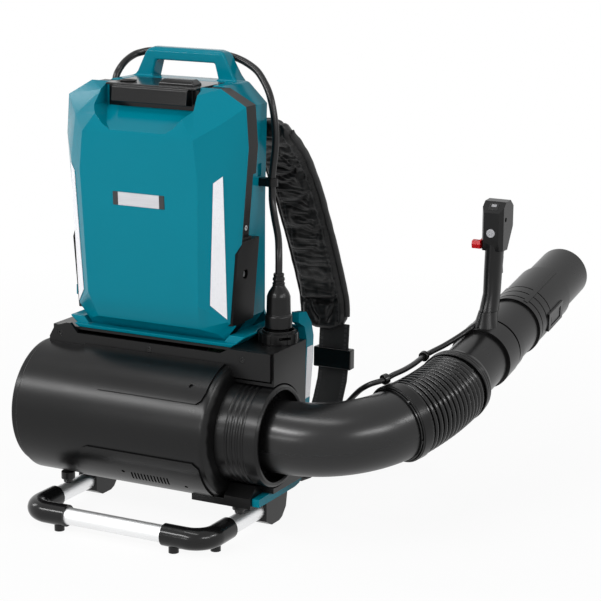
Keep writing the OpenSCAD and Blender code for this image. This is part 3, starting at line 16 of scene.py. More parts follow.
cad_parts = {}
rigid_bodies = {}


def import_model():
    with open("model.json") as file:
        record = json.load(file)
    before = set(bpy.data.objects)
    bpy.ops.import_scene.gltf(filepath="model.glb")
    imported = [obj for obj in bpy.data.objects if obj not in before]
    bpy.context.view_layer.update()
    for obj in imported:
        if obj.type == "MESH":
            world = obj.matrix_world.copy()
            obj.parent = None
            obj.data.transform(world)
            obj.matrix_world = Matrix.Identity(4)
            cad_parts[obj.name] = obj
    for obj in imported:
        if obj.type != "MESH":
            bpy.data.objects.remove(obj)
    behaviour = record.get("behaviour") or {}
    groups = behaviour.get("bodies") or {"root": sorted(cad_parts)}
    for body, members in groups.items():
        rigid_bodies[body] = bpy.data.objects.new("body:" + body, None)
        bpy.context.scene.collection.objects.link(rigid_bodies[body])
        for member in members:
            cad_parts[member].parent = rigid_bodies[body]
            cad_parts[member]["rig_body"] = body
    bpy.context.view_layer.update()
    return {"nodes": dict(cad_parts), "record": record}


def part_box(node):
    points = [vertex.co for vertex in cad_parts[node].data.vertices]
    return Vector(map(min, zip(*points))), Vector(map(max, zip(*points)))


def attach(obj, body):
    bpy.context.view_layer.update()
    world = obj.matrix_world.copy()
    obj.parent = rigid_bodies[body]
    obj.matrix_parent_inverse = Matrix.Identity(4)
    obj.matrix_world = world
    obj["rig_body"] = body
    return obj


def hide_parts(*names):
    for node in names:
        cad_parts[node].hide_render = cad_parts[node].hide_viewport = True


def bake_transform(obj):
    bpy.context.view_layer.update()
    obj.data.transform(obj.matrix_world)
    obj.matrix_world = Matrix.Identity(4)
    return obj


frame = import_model()
MM = 0.001
bodies_of = {node: thing["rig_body"] for node, thing in frame["nodes"].items()}

# %% [markdown]
# ## The camera comes first
# A long lens from a little above the pack keeps upright edges almost parallel, as in a catalogue picture.
# The camera is turned about the vertical by its azimuth, tipped down by its elevation, and rolled a hair.

# %% Camera
AZIMUTH, ELEVATION, ROLL = 27.5, 13.1, 0.4
camera = bpy.data.objects.new("catalogue_camera", bpy.data.cameras.new("catalogue_camera"))
bpy.context.scene.collection.objects.link(camera)
camera.data.sensor_width = 36.0
camera.data.lens = 119.86
camera.data.clip_end = 30.0
turn = Matrix.Rotation(math.radians(AZIMUTH), 4, "Z")
tip = Matrix.Rotation(math.radians(90 - ELEVATION), 4, "X")
roll = Matrix.Rotation(math.radians(ROLL), 4, "Z")
camera.matrix_world = Matrix.Translation((1.290, -2.089, 0.857)) @ turn @ tip @ roll
bpy.context.scene.camera = camera
print("camera at", tuple(camera.location))

# %% [markdown]
# ## The cords
# Three cords are clipped to the machine: the thick lead from the pack down to its plug, and the thin control
# cable in two lengths that meet at the rear tie. A cord is one smooth curve through a few chosen points,
# so each is a curve with a round profile, made a mesh once it lies right.

# %% Routes of the cords, in millimetres
LEAD_ROUTE = [
    (-94, 56, 547), (-94, 57.5, 556), (-92.5, 63, 565), (-91, 75, 574), (-88, 89, 580.5), (-81, 97, 584),
    (-60, 98.5, 587.5), (0, 98.5, 589), (50, 98, 586.5), (84, 93, 575.5), (103, 87.5, 560), (119, 79, 536),
    (127, 76, 492), (122, 76, 443), (122, 76, 427), (123, 75, 411), (129, 70, 392), (140, 59, 370),
    (147, 48, 349), (148, 46, 326),
]
FRONT_CABLE_ROUTE = [
    (316, 284, 232), (309.5, 268, 226), (303, 252, 220), (294, 228, 213), (287, 204, 209),
    (285, 185.5, 207.4), (287, 165, 207), (288, 143, 206), (287, 118, 205), (284.5, 95, 204.5),
    (283, 82.5, 203.4), (281.3, 78.2, 202.6),
]
REAR_CABLE_ROUTE = [
    (280.4, 75.8, 202.2), (278.7, 71.5, 201.3), (267, 65.5, 197), (253, 68, 188), (241, 73, 177), (229, 79, 165),
    (215, 84, 154), (200, 86, 146), (187, 86, 142), (174.4, 86, 142),
]
LEAD_DIAMETER, CABLE_DIAMETER = 0.009, 0.007


def forget_selection():
    """Every operator acts on what is selected, so nothing is left selected by chance."""
    if bpy.context.mode != "OBJECT":
        bpy.ops.object.mode_set(mode="OBJECT")
    bpy.ops.object.select_all(action="DESELECT")


def take(piece):
    """Makes one piece the active and only selected one."""
    forget_selection()
    piece.select_set(True)
    bpy.context.view_layer.objects.active = piece
    return piece


def smooth_points(points, parts):
    """Points along a Catmull-Rom curve, with so many parts to each span."""
    p = [Vector(q) * MM for q in points]
    found = []
    for i in range(len(p) - 1):
        a, b, c, d = p[max(i - 1, 0)], p[i], p[i + 1], p[min(i + 2, len(p) - 1)]
        for k in range(parts):
            t = k / parts
            found.append(0.5 * (2 * b + (c - a) * t + (2 * a - 5 * b + 4 * c - d) * t * t
                                + (3 * b - a - 3 * c + d) * t ** 3))
    return found + [p[-1]]


def lay_cord(name, route, diameter, parts=6):
    """A round cord along its route, as a mesh with an even skin."""
    points = smooth_points(route, parts)
    curve = bpy.data.curves.new(name, "CURVE")
    curve.dimensions = "3D"
    curve.bevel_depth = diameter / 2
    curve.bevel_resolution = 5
    curve.use_fill_caps = True
    spline = curve.splines.new("POLY")
    spline.points.add(len(points) - 1)
    for point, place in zip(spline.points, points):
        point.co = (*place, 1)
    piece = bpy.data.objects.new(name, curve)
    bpy.context.scene.collection.objects.link(piece)
    take(piece)
    bpy.ops.object.convert(target="MESH")
    bpy.ops.object.shade_smooth_by_angle(angle=math.radians(50))
    length = sum((b - a).length for a, b in zip(points, points[1:]))
    print(name, "length", round(length, 3), "m")
    return piece, points


# %% Lay the cords
power_cord, _ = lay_cord("power_cord", LEAD_ROUTE, LEAD_DIAMETER)
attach(power_cord, "root")
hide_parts("power_lead")
front_cable, front_path = lay_cord("front_control_cable", FRONT_CABLE_ROUTE, CABLE_DIAMETER)
rear_cable, rear_path = lay_cord("rear_control_cable", REAR_CABLE_ROUTE, CABLE_DIAMETER)

# %% [markdown]
# ## Finishes as arithmetic
# A finish is a small calculation: grain, haze and wear are numbers that vary over the surface. The class
# below lets the numbers be written as plain sums, and puts the Math nodes in place of them.

# %% Arithmetic for finishes
class Wire:
    """One value inside a finish. Adding or multiplying wires adds the Math nodes that do it."""

    def __init__(self, finish, socket):
        self.finish = finish
        self.socket = socket

    def math(self, operation, other=None, swapped=False):
        pair = (other, self) if swapped else (self, other)
        values = {0: pair[0]} if other is None else {0: pair[0], 1: pair[1]}
        return self.finish.add("ShaderNodeMath", {"operation": operation}, values)

    def __add__(self, other):
        return self.math("ADD", other)

    def __radd__(self, other):
        return self.math("ADD", other, True)

    def __sub__(self, other):
        return self.math("SUBTRACT", other)

    def __rsub__(self, other):
        return self.math("SUBTRACT", other, True)

    def __mul__(self, other):
        return self.math("MULTIPLY", other)

    def __rmul__(self, other):
        return self.math("MULTIPLY", other, True)

    def __pow__(self, other):
        return self.math("POWER", other)

    def sine(self):
        return self.math("SINE")

    def size(self):
        return self.math("ABSOLUTE")

    def above(self, other):
        return self.math("GREATER_THAN", other)


class Finish:
    """A material whose nodes are added by name, with their settings first and then their inputs."""

    def __init__(self, name):
        self.material = bpy.data.materials.new(name)
        self.material.use_nodes = True
        self.tree = self.material.node_tree
        self.shader = self.tree.nodes["Principled BSDF"]
        self.place = self.add("ShaderNodeTexCoord", {}, {}, "Object")

    def add(self, kind, settings, inputs, output=0):
        """Adds a node and returns the wire that leaves it."""
        node = self.tree.nodes.new(kind)
        for key, value in settings.items():
            if key == "stops":
                ramp = node.color_ramp
                while len(ramp.elements) < len(value):
                    ramp.elements.new(0.5)
                for element, (position, colour) in zip(ramp.elements, value):
                    element.position = position
                    element.color = colour
            else:
                setattr(node, key, value)
        for key, value in inputs.items():
            if isinstance(value, Wire):
                self.tree.links.new(value.socket, node.inputs[key])
            else:
                node.inputs[key].default_value = value
        self.last = node
        return Wire(self, node.outputs[output])

    def noise(self, scale, detail=2.0, roughness=0.5, stretch=(1, 1, 1)):
        """Smooth random values, about 0.5, with so many ripples to the metre."""
        place = self.place
        if stretch != (1, 1, 1):
            place = self.add("ShaderNodeMapping", {}, {"Vector": place, "Scale": stretch})
        return self.add("ShaderNodeTexNoise", {}, {"Vector": place, "Scale": scale, "Detail": detail,
                                                   "Roughness": roughness})

    def axes(self, place=None):
        """The three coordinates of the place as wires."""
        self.add("ShaderNodeSeparateXYZ", {}, {"Vector": place or self.place})
        return [Wire(self, self.last.outputs[k]) for k in range(3)]

    def mix(self, factor, first, second):
        """A colour between two colours."""
        node = self.tree.nodes.new("ShaderNodeMix")
        node.data_type = "RGBA"
        for socket, value in ((node.inputs[0], factor), (node.inputs[6], first), (node.inputs[7], second)):
            if isinstance(value, Wire):
                self.tree.links.new(value.socket, socket)
            else:
                socket.default_value = value
        return Wire(self, node.outputs[2])

    def bump(self, height, depth, strength=1.0):
        """Turns a height into a tilt of the surface and feeds it to the shader."""
        tilt = self.add("ShaderNodeBump", {}, {"Height": height, "Distance": depth, "Strength": strength})
        self.tree.links.new(tilt.socket, self.shader.inputs["Normal"])

    def set(self, **values):
        """Sets the shader's own sockets, from plain values or wires."""
        for key, value in values.items():
            socket = self.shader.inputs[key.replace("_", " ")]
            if isinstance(value, Wire):
                self.tree.links.new(value.socket, socket)
            else:
                socket.default_value = value
        return self


def shade(grey):
    """A neutral colour."""
    return (grey, grey, grey * 1.04, 1)


# %% [markdown]
# ## Moulded plastics
# A moulded skin is never even: a fine grain from the tool breaks the light, a slow haze changes the gloss,
# and handling leaves faint scuffs. All moulded finishes share one recipe, with their own colour, gloss and grain.

# %% Moulded plastics
AXIS_Z, RISE = 0.134, math.radians(11)


def moulded(name, colour, gloss, grain, grain_scale=2200, haze=0.08, shine=0.2, fade=0.12):
    """A plastic skin: gloss is its roughness, grain its texture's depth in millimetres, shine its mirror share."""
    finish = Finish(name)
    slow = finish.noise(14, 3)
    fine = finish.noise(grain_scale, 2, 0.6)
    scuffs = finish.noise(60, 5, 0.7, (1, 1, 3))
    dark = tuple(c * (1 - fade) for c in colour[:3]) + (1,)
    light = tuple(min(1, c * (1 + fade)) for c in colour[:3]) + (1,)
    finish.set(Base_Color=finish.mix(slow, dark, light))
    finish.set(Roughness=gloss + (slow - 0.5) * haze + (scuffs - 0.5) * haze * 0.6)
    finish.set(IOR=1.47, Specular_IOR_Level=shine)
    finish.bump(fine + slow * 0.4, grain * MM, 0.6)
    return finish.material


def plate(name, pale_half):
    """The bare rating plate: brushed pale film in its middle and dark ends beyond pale_half metres."""
    finish = Finish(name)
    x, _, _ = finish.axes()
    dark_end = x.size().above(pale_half)
    brushed = finish.noise(900, 2, 0.5, (0.04, 1, 1))
    film = finish.mix(brushed, shade(0.50), shade(0.66))
    finish.set(Base_Color=finish.mix(dark_end, film, shade(0.03)))
    finish.set(Roughness=0.34 + brushed * 0.1, Specular_IOR_Level=0.4)
    return finish.material


def display(name, middle):
    """A dark glass window with a few pale level bars. middle is the window's centre."""
    finish = Finish(name)
    x, y, z = finish.axes()
    beside = (x - middle[0]).size()
    above = z - middle[2]
    bars = ((above * 900).sine()).above(0.35) * beside.math("LESS_THAN", 0.0034)
    bars = bars * above.size().math("LESS_THAN", 0.0042)
    finish.set(Base_Color=finish.mix(bars, shade(0.012), shade(0.36)))
    finish.set(Roughness=0.12 + bars * 0.1, Specular_IOR_Level=0.4)
    return finish.material


def duct_plastic(name, seam_half):
    """The duct's satin skin with the raised line where the halves of its mould met."""
    finish = Finish(name)
    _, y, z = finish.axes()
    height = (z - AXIS_Z) * math.cos(RISE) - y * math.sin(RISE)
    seam = height.size().math("LESS_THAN", seam_half)
    below = height.math("LESS_THAN", 0.0)
    slow = finish.noise(14, 3)
    finish.set(Base_Color=finish.mix(slow, shade(0.0042), shade(0.0062)))
    finish.set(Roughness=0.26 + below * 0.12 + (slow - 0.5) * 0.1, IOR=1.47, Specular_IOR_Level=0.48)
    finish.bump(slow * 0.2 + seam * 1.0, 1.0 * MM, 1.0)
    return finish.material


teal_plastic = moulded("teal_plastic", (0.0, 0.190, 0.260, 1), 0.15, 0.0008, shine=0.11, fade=0.03, haze=0.04)
black_plastic = moulded("black_plastic", shade(0.004), 0.29, 0.004, 1600, shine=0.28)
gloss_black = moulded("gloss_black", shade(0.004), 0.18, 0.001, 900, shine=0.34, haze=0.06)
hose_plastic = moulded("hose_plastic", shade(0.004), 0.20, 0.001, 1200, shine=0.42, haze=0.1)
elbow_plastic = duct_plastic("elbow_plastic", 0.0013)
band_black = moulded("band_black", shade(0.004), 0.34, 0.004, 1600, shine=0.14)
cord_rubber = moulded("cord_rubber", shade(0.008), 0.30, 0.004, 1800, shine=0.34)
red_plastic = moulded("red_plastic", (0.62, 0.008, 0.012, 1), 0.3, 0.003, shine=0.3)
grey_plastic = moulded("grey_plastic", shade(0.45), 0.4, 0.006, shine=0.4)
pale_plate = plate("pale_plate", 0.0295)
cell_wrap = moulded("cell_wrap", (0.05, 0.25, 0.06, 1), 0.35, 0.002, shine=0.4)
board_green = moulded("board_green", (0.004, 0.06, 0.02, 1), 0.4, 0.004, shine=0.4)
display_low, display_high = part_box("handle_display")
display_glass = display("display_glass", [(a + b) / 2 for a, b in zip(display_low, display_high)])
print("moulded finishes", len(bpy.data.materials))

# %% [markdown]
# ## Metals and reflective tape
# The stand's tubes are drawn aluminium, with long faint lines round a satin skin. Screws and hooks are plain
# steel. The tape on the pack's shoulders throws light back from rows of tiny cells under a clear film.

# %% Metals
def metal(name, colour, gloss, line_scale, stretch):
    finish = Finish(name)
    lines = finish.noise(line_scale, 3, 0.6, stretch)
    blotch = finish.noise(30, 2)
    finish.set(Base_Color=finish.mix(blotch, tuple(c * 0.93 for c in colour[:3]) + (1,), colour))
    finish.set(Metallic=1.0, Roughness=gloss + (lines - 0.5) * 0.16)
    finish.bump(lines, 0.02 * MM, 0.5)
    return finish.material


alloy_tube = metal("alloy_tube", (0.9, 0.905, 0.91, 1), 0.44, 900, (1, 1, 1))
steel_wire = metal("steel_wire", (0.56, 0.57, 0.58, 1), 0.3, 700, (1, 1, 1))
motor_steel = metal("motor_steel", (0.45, 0.45, 0.46, 1), 0.4, 400, (0.1, 1, 1))


def tape():
    """Reflective tape: a pale film over hexagon-like cells."""
    finish = Finish("reflective_tape")
    cells = finish.add("ShaderNodeTexVoronoi", {"feature": "DISTANCE_TO_EDGE"},
                       {"Vector": finish.place, "Scale": 700.0})
    seam = cells.math("LESS_THAN", 0.06)
    finish.set(Base_Color=finish.mix(seam, shade(0.88), shade(0.74)))
    finish.set(Roughness=0.3 + seam * 0.12, Coat_Weight=0.3, Coat_Roughness=0.08)
    finish.bump(seam * -1.0, 0.02 * MM, 0.4)
    return finish.material


reflective_tape = tape()

# %% [markdown]
# ## Cloth
# The straps are covered with a fine plain weave, and the webbing is a heavy band whose ribs run across it.
# The threads are waves crossed at right angles, laid along each piece's own surface map.

# %% Cloth
def weave(name, colour, threads, depth, rough=0.85, ribbed=False, crumple=0.0, stitches=(), gleam=0.3):
    """A woven skin with so many threads to the metre, from the piece's surface map.

    crumple is the depth of small creases in millimetres. stitches are the places across the band, in metres
    from its middle, of rows of thread that run along it.
    """
    finish = Finish(name)
    mapped = finish.add("ShaderNodeUVMap", {"uv_map": "cloth"}, {})
    along, across, _ = finish.axes(mapped)
    turnover = 2 * math.pi * threads
    warp = (along * turnover).sine()
    weft = (across * turnover).sine()
    ribs = warp.size() if ribbed else warp * weft * 0.5 + 0.5
    dust = finish.noise(120, 4, 0.6)
    creases = finish.noise(38, 3, 0.55, (0.45, 1, 1))
    finish.set(Roughness=rough + (dust - 0.5) * 0.15, Sheen_Weight=0.05, Sheen_Roughness=0.4)
    finish.set(Specular_IOR_Level=gleam)
    skin = finish.mix(ribs * 0.6 + dust * 0.4, tuple(c * 0.55 for c in colour[:3]) + (1,), colour)
    height = ribs + dust * 0.3 + creases * (crumple / depth)
    dashes = (along * (2 * math.pi * 220)).sine().above(-0.35)
    for place in stitches:
        thread = (across.size() - place).size().math("LESS_THAN", 0.0006) * dashes
        skin = finish.mix(thread, skin, shade(0.035))
        height = height + thread * 2.0
    finish.set(Base_Color=skin)
    finish.bump(height, depth * MM, 0.7)
    return finish.material


strap_cloth = weave("strap_cloth", shade(0.0028), 900, 0.12, 0.40, crumple=1.2, stitches=(0.0225,), gleam=0.34)
binding_cloth = weave("binding_cloth", shade(0.007), 700, 0.15, 0.6)
web_cloth = weave("web_cloth", shade(0.009), 420, 0.3, 0.6, True, stitches=(0.0185, 0.0165))
print("materials", len(bpy.data.materials))

# %% [markdown]
# ## Rounded edges on the hard pieces
# A moulded piece has no knife edge, and its rounded edges are what catch the light. Each hard piece is a
# clean copy of its solid: doubles are merged, flat faces joined, the edges bevelled, and the bevel's faces
# weighted so that flat faces stay flat.

# %% Dress the hard pieces
FINISH_OF_SLOT = {
    "teal_plastic": teal_plastic, "black_plastic": black_plastic, "gloss_black": gloss_black,
    "hose_plastic": hose_plastic, "lead_rubber": cord_rubber, "alloy_tube": alloy_tube, "steel": steel_wire,
    "reflective": reflective_tape, "pale_plate": pale_plate, "cell_wrap": cell_wrap, "board_green": board_green,
    "red_plastic": red_plastic, "grey_plastic": grey_plastic, "pad_fabric": strap_cloth, "web_fabric": web_cloth,
}
slot_of = {row["node"]: row["material_slot"] for row in frame["record"]["subparts"]}


def clean_copy(node, name):
    """A copy of a solid with its doubles merged and its flat faces joined."""
    mesh = frame["nodes"][node].data.copy()
    mesh.name = name
    piece = bpy.data.objects.new(name, mesh)
    bpy.context.scene.collection.objects.link(piece)
    mesh.materials.clear()
    take(piece)
    bpy.ops.object.mode_set(mode="EDIT")
    bpy.ops.mesh.select_all(action="SELECT")
    bpy.ops.mesh.remove_doubles(threshold=0.00001)
    bpy.ops.mesh.dissolve_limited(angle_limit=math.radians(0.6))
    bpy.ops.object.mode_set(mode="OBJECT")
    return piece


def apply_modifier(piece, kind, **settings):
    """Adds a modifier, gives it its settings and applies it."""
    take(piece)
    modifier = piece.modifiers.new(kind.lower(), kind)
    for key, value in settings.items():
        setattr(modifier, key, value)
    bpy.ops.object.modifier_apply(modifier=modifier.name)
    return piece


def soften_top(piece, from_height, width, corner=28.0):
    """Rounds the edges above a height, in metres, by more than the rest of the piece can take."""
    take(piece)
    bpy.ops.object.mode_set(mode="EDIT")
    bpy.ops.mesh.select_mode(type="EDGE")
    bpy.ops.mesh.select_all(action="DESELECT")
    shape = bmesh.from_edit_mesh(piece.data)
    for edge in shape.edges:
        sharp = len(edge.link_faces) == 2 and edge.calc_face_angle(0) > math.radians(corner)
        edge.select = sharp and all(v.co.z > from_height for v in edge.verts)
    bmesh.update_edit_mesh(piece.data)
    bpy.ops.mesh.bevel(offset=width * MM, segments=3, clamp_overlap=True)
    bpy.ops.object.mode_set(mode="OBJECT")


def dress(node, edge, segments=2, finish=None, smooth=35.0, corner=28.0):
    """The moulded piece that stands for a solid, with its edges rounded by edge millimetres."""
    piece = clean_copy(node, node + "_skin")
    if node in SOFT_TOPS:
        soften_top(piece, *SOFT_TOPS[node])
    piece.data.materials.append(finish or FINISH_OF_SLOT[slot_of[node]])
    if edge:
        apply_modifier(piece, "BEVEL", width=edge * MM, segments=segments, limit_method="ANGLE",
                       angle_limit=math.radians(corner), use_clamp_overlap=True, harden_normals=False)
    take(piece)
    bpy.ops.object.shade_smooth_by_angle(angle=math.radians(smooth))
    apply_modifier(piece, "WEIGHTED_NORMAL", keep_sharp=True)
    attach(piece, bodies_of[node])
    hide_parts(node)
    return piece


EDGES = {
    "pack_front_shell": 1.4, "pack_band": 1.0, "pack_rear_shell": 4.0, "control_panel": 1.2, "pad_button": 1.2,
    "blank_plate": 0.4, "lead_clip": 0.6, "plug_body": 0.8, "lock_ring": 0.7, "plug_socket": 0.4,
    "fan_cover": 1.8, "fan_case": 1.5, "upper_panel": 1.0, "lower_panel": 0.8, "intake_ring": 0.8,
    "outlet_sleeve": 0.5, "cover_screws": 0.3, "pack_tray": 1.5, "back_frame": 1.0, "bumpers": 1.0,
    "stand_corners": 1.5, "rear_feet": 1.5, "strap_buckles": 2.4, "strap_hooks": 0.5,
    "elbow_pipe": 0.6, "rear_hose_band": 0.5, "front_hose_band": 0.4, "front_pipe": 0.5, "nozzle_pipe": 0.6,
    "handle_clamp": 1.2, "handle_shell": 1.6, "handle_display": 0.4, "trigger": 0.8, "speed_lever": 0.6,
    "power_button": 0.5, "rear_tie": 0.6, "front_tie": 0.6, "cable_gland": 0.5, "lead_gland": 0.6,
    "front_tube": 0.0, "side_tubes": 0.0,
}
SOFT_TOPS = {"pack_rear_shell": (0.5575, 5.0)}
OWN_FINISH = {"elbow_pipe": elbow_plastic, "pack_band": band_black, "handle_display": display_glass}
dressed = {node: dress(node, edge, finish=OWN_FINISH.get(node)) for node, edge in EDGES.items()}
print("dressed", len(dressed), "faces", sum(len(p.data.polygons) for p in dressed.values()))

# %% Pieces that keep their solid and only get a finish
for node, thing in frame["nodes"].items():
    if not thing.hide_render:
        thing.data.materials.clear()
        thing.data.materials.append(FINISH_OF_SLOT[slot_of[node]])

# %% [markdown]
# ## The ribbed hose
# The hose joins the elbow to the pipe and bends as the pipe is swung inwards; here it is one smoothed piece.

# %% Hose and control cables get their finishes
def duct_point(x, y, z):
    """A point given in the duct's own frame, which rises towards the front."""
    return Vector((x, y * math.cos(RISE) - z * math.sin(RISE), AXIS_Z + y * math.sin(RISE) + z * math.cos(RISE)))


hose = clean_copy("flexible_hose", "ribbed_hose")
hose.data.materials.append(hose_plastic)
take(hose)
bpy.ops.object.shade_smooth_by_angle(angle=math.radians(40))
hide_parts("flexible_hose")
HOSE_START, HOSE_END = duct_point(0.306, 0.090, 0), duct_point(0.3255, 0.190, 0)
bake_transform(hose)
for cable, node, pair, ends in (
        (front_cable, "cable_front", ("duct_elbow", "duct_pipe"), (HOSE_START, HOSE_END)),
        (rear_cable, "cable_rear", ("root", "duct_elbow"), (rear_path[-8], rear_path[4]))):
    cable.data.materials.append(cord_rubber)
    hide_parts(node)
    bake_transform(cable)
power_cord.data.materials.append(cord_rubber)

# %% [markdown]
# ## Ties and a small loop
# Each tie is a thin ring on the hose. Where it holds the cable it is wound twice and its end stands out, so a
# fat double ring and a short tail are added there. A wire loop lies on the left of the pack's top.


# %% Knots of the ties and the loop on top of the pack
TURN_RADIUS, TURN_THICK, TURN_STEP = 0.0049, 0.0015, 0.0018
TAIL_LENGTH, TAIL_OFFSET, TAIL_TILT = 0.011, Vector((0.0055, 0, 0.0045)), math.radians(52)
LOOP_PLACE, LOOP_RADIUS, LOOP_THICK = (-0.044, 0.008, 0.5596), 0.0075, 0.0012


def finish_detail(piece, body, finish):
    """Applies the place of a small piece, smooths it and gives it its body and finish."""
    take(piece)
    bpy.ops.object.transform_apply(location=True, rotation=True, scale=True)
    bpy.ops.object.shade_smooth_by_angle(angle=math.radians(50))
    piece.data.materials.append(finish)
    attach(piece, body)
    return piece


def tie_knot(node, path):
    """A double ring round the cable where the node's tie meets it, with a tail to one side."""
    low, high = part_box(node)
    crown = Vector(((low[0] + high[0]) / 2, (low[1] + high[1]) / 2, high[2]))
    k = min(range(1, len(path) - 1), key=lambda i: (path[i] - crown).length)
    ahead = (path[k + 1] - path[k - 1]).normalized()
    turned = ahead.to_track_quat("Z", "Y").to_euler()
    for step, name in ((-TURN_STEP, "first"), (TURN_STEP, "second")):
        forget_selection()
        bpy.ops.mesh.primitive_torus_add(major_radius=TURN_RADIUS, minor_radius=TURN_THICK, major_segments=32,
                                         minor_segments=10, location=path[k] + ahead * step, rotation=turned)
        ring = bpy.context.active_object
        ring.name = f"{node}_{name}_turn"
        finish_detail(ring, bodies_of[node], cord_rubber)
    forget_selection()
    bpy.ops.mesh.primitive_cone_add(vertices=12, radius1=0.0017, radius2=0.0011, depth=TAIL_LENGTH,
                                    location=path[k] + TAIL_OFFSET, rotation=(0, TAIL_TILT, 0))
    tail = bpy.context.active_object
    tail.name = f"{node}_tail"
    apply_modifier(tail, "BEVEL", width=0.0005, segments=2, limit_method="ANGLE")
    finish_detail(tail, bodies_of[node], cord_rubber)
    return path[k]


for node in ("rear_tie", "front_tie"):
    print(node, "knot at", tuple(round(v, 3) for v in tie_knot(node, front_path)))

forget_selection()
bpy.ops.mesh.primitive_torus_add(major_radius=LOOP_RADIUS, minor_radius=LOOP_THICK, major_segments=40,
                                 minor_segments=10, location=LOOP_PLACE, rotation=(0, 0, math.radians(20)))
loop = bpy.context.active_object
loop.name = "pack_top_loop"
loop.scale = (1.25, 0.7, 1)
finish_detail(loop, "root", cord_rubber)

# %% [markdown]
# ## Padding that was sewn, then filled
# A strap pad is a flat bag with side walls, sewn at its long edges and filled with foam. The foam pushes the
# cloth out, the seams hold it back, and the spare cloth gathers in folds across the strap. Cloth simulation
# does the same: the edges are held, the skin is a little too large, and pressure stands for the foam.

# %% Simulate a filled bag
def fill_bag(piece, voxel, pressure, spare, cap, held, frames=20):
    """Remeshes a closed form, swells it as cloth that is held at some of its points, and keeps the result.

    voxel, spare and cap are the remesh size, the extra cloth as a share, and the most that a point may move.
    held is a function of a point that says how firmly the seam holds it, from 0 to 1.
    """
    apply_modifier(piece, "REMESH", mode="VOXEL", voxel_size=voxel)
    rest = np.array([v.co for v in piece.data.vertices])
    group = piece.vertex_groups.new(name="seams")
    for vertex, place in zip(piece.data.vertices, rest):
        group.add([vertex.index], held(place), "REPLACE")
    take(piece)
    cloth = piece.modifiers.new("cloth", "CLOTH")
    rules = cloth.settings
    rules.quality = 6
    rules.mass = 0.15
    rules.tension_stiffness = 20
    rules.compression_stiffness = 20
    rules.shear_stiffness = 8
    rules.bending_stiffness = 0.12
    rules.shrink_min = -spare
    rules.use_pressure = True
    rules.uniform_pressure_force = pressure
    rules.effector_weights.gravity = 0
    rules.vertex_group_mass = group.name
    cloth.collision_settings.use_collision = False
    cloth.point_cache.frame_start = 1
    cloth.point_cache.frame_end = frames
    for step in range(1, frames + 1):
        bpy.context.scene.frame_set(step)
    swollen = piece.evaluated_get(bpy.context.evaluated_depsgraph_get()).data
    moved = np.array([v.co for v in swollen.vertices]) - rest
    reach = np.linalg.norm(moved, axis=1, keepdims=True)
    moved *= np.minimum(1, cap / np.maximum(reach, 1e-9))
    piece.modifiers.remove(cloth)
    piece.data.vertices.foreach_set("co", (rest + moved).ravel())
    piece.vertex_groups.clear()
    bpy.context.scene.frame_set(1)
    print(piece.name, "points", len(rest), "most moved", round(float(reach.max()) * 1000, 1), "mm")
    apply_modifier(piece, "SUBSURF", levels=1, render_levels=1)
    return piece


def closed_band(name, rings):
    """A closed form through rings of equally many points, with its two ends capped."""
    build = bmesh.new()
    rows = [[build.verts.new(p) for p in ring] for ring in rings]
    count = len(rows[0])
    for first, second in zip(rows, rows[1:]):
        for k in range(count):
            build.faces.new((first[k], first[(k + 1) % count], second[(k + 1) % count], second[k]))
    build.faces.new(list(reversed(rows[0])))
    build.faces.new(rows[-1])
    bmesh.ops.recalc_face_normals(build, faces=build.faces)
    mesh = bpy.data.meshes.new(name)
    build.to_mesh(mesh)
    build.free()
    piece = bpy.data.objects.new(name, mesh)
    bpy.context.scene.collection.objects.link(piece)
    return piece


class Line:
    """A smooth line in the YZ plane with its length and its two directions."""

    def __init__(self, points, parts=8):
        self.points = [p.to_3d() for p in smooth_points([(0, y, z) for y, z in points], parts)]
        steps = [0.0] + [(b - a).length for a, b in zip(self.points, self.points[1:])]
        self.reach = np.cumsum(steps)
        self.length = float(self.reach[-1])

    def point(self, distance):
        return Vector([float(np.interp(distance, self.reach, [p[k] for p in self.points])) for k in range(3)])

    def at(self, distance):
        """Point and direction at a distance along the line."""
        ahead, behind = self.point(distance + 0.002), self.point(distance - 0.002)
        return self.point(distance), (ahead - behind).normalized()

    def nearest(self, place):
        """Distance along the line of the point nearest to a place."""
        ys = np.array([p.y for p in self.points])
        zs = np.array([p.z for p in self.points])
        return float(self.reach[int(np.argmin((ys - place[1]) ** 2 + (zs - place[2]) ** 2))])


def map_cloth(piece, locate):
    """Gives a piece the surface map of its cloth: locate turns a point into metres along and across."""
    layer = piece.data.uv_layers.get("cloth") or piece.data.uv_layers.new(name="cloth")
    spots = [locate(v.co) for v in piece.data.vertices]
    for loop in piece.data.loops:
        layer.data[loop.index].uv = spots[loop.vertex_index]
    return piece


# %% Lines that the harness follows, in the side view
STRAP_LINE = Line([(99.6, 512), (101, 502), (110, 490), (128, 477), (150, 457), (171, 430), (190, 402),
                   (208, 369), (226, 336), (242, 304), (256, 274), (267, 248), (270, 226), (267, 205)])
WEB_LINE = Line([(267, 204.7), (265, 186), (264.5, 166), (264, 150), (261, 136), (249, 112), (232, 86),
                 (210, 58), (186, 38), (158, 30), (132, 33), (107.4, 41.4)])
STRAP_X, STRAP_HALF, STRAP_THICK, STRAP_CORNER = 0.100, 0.0335, 0.0175, 0.021
WEB_X = 0.116
print("strap", round(STRAP_LINE.length, 3), "m, webbing", round(WEB_LINE.length, 3), "m")

# %% [markdown]
# ## The strap pads
# Each pad is a flat bag with round corners at its ends. A seam runs along it just inside its outer edge. The
# simulation fills it, and then the folds that spare cloth makes are pressed in: each fold is a short arc
# across the pad, with a valley and a soft roll beside it.


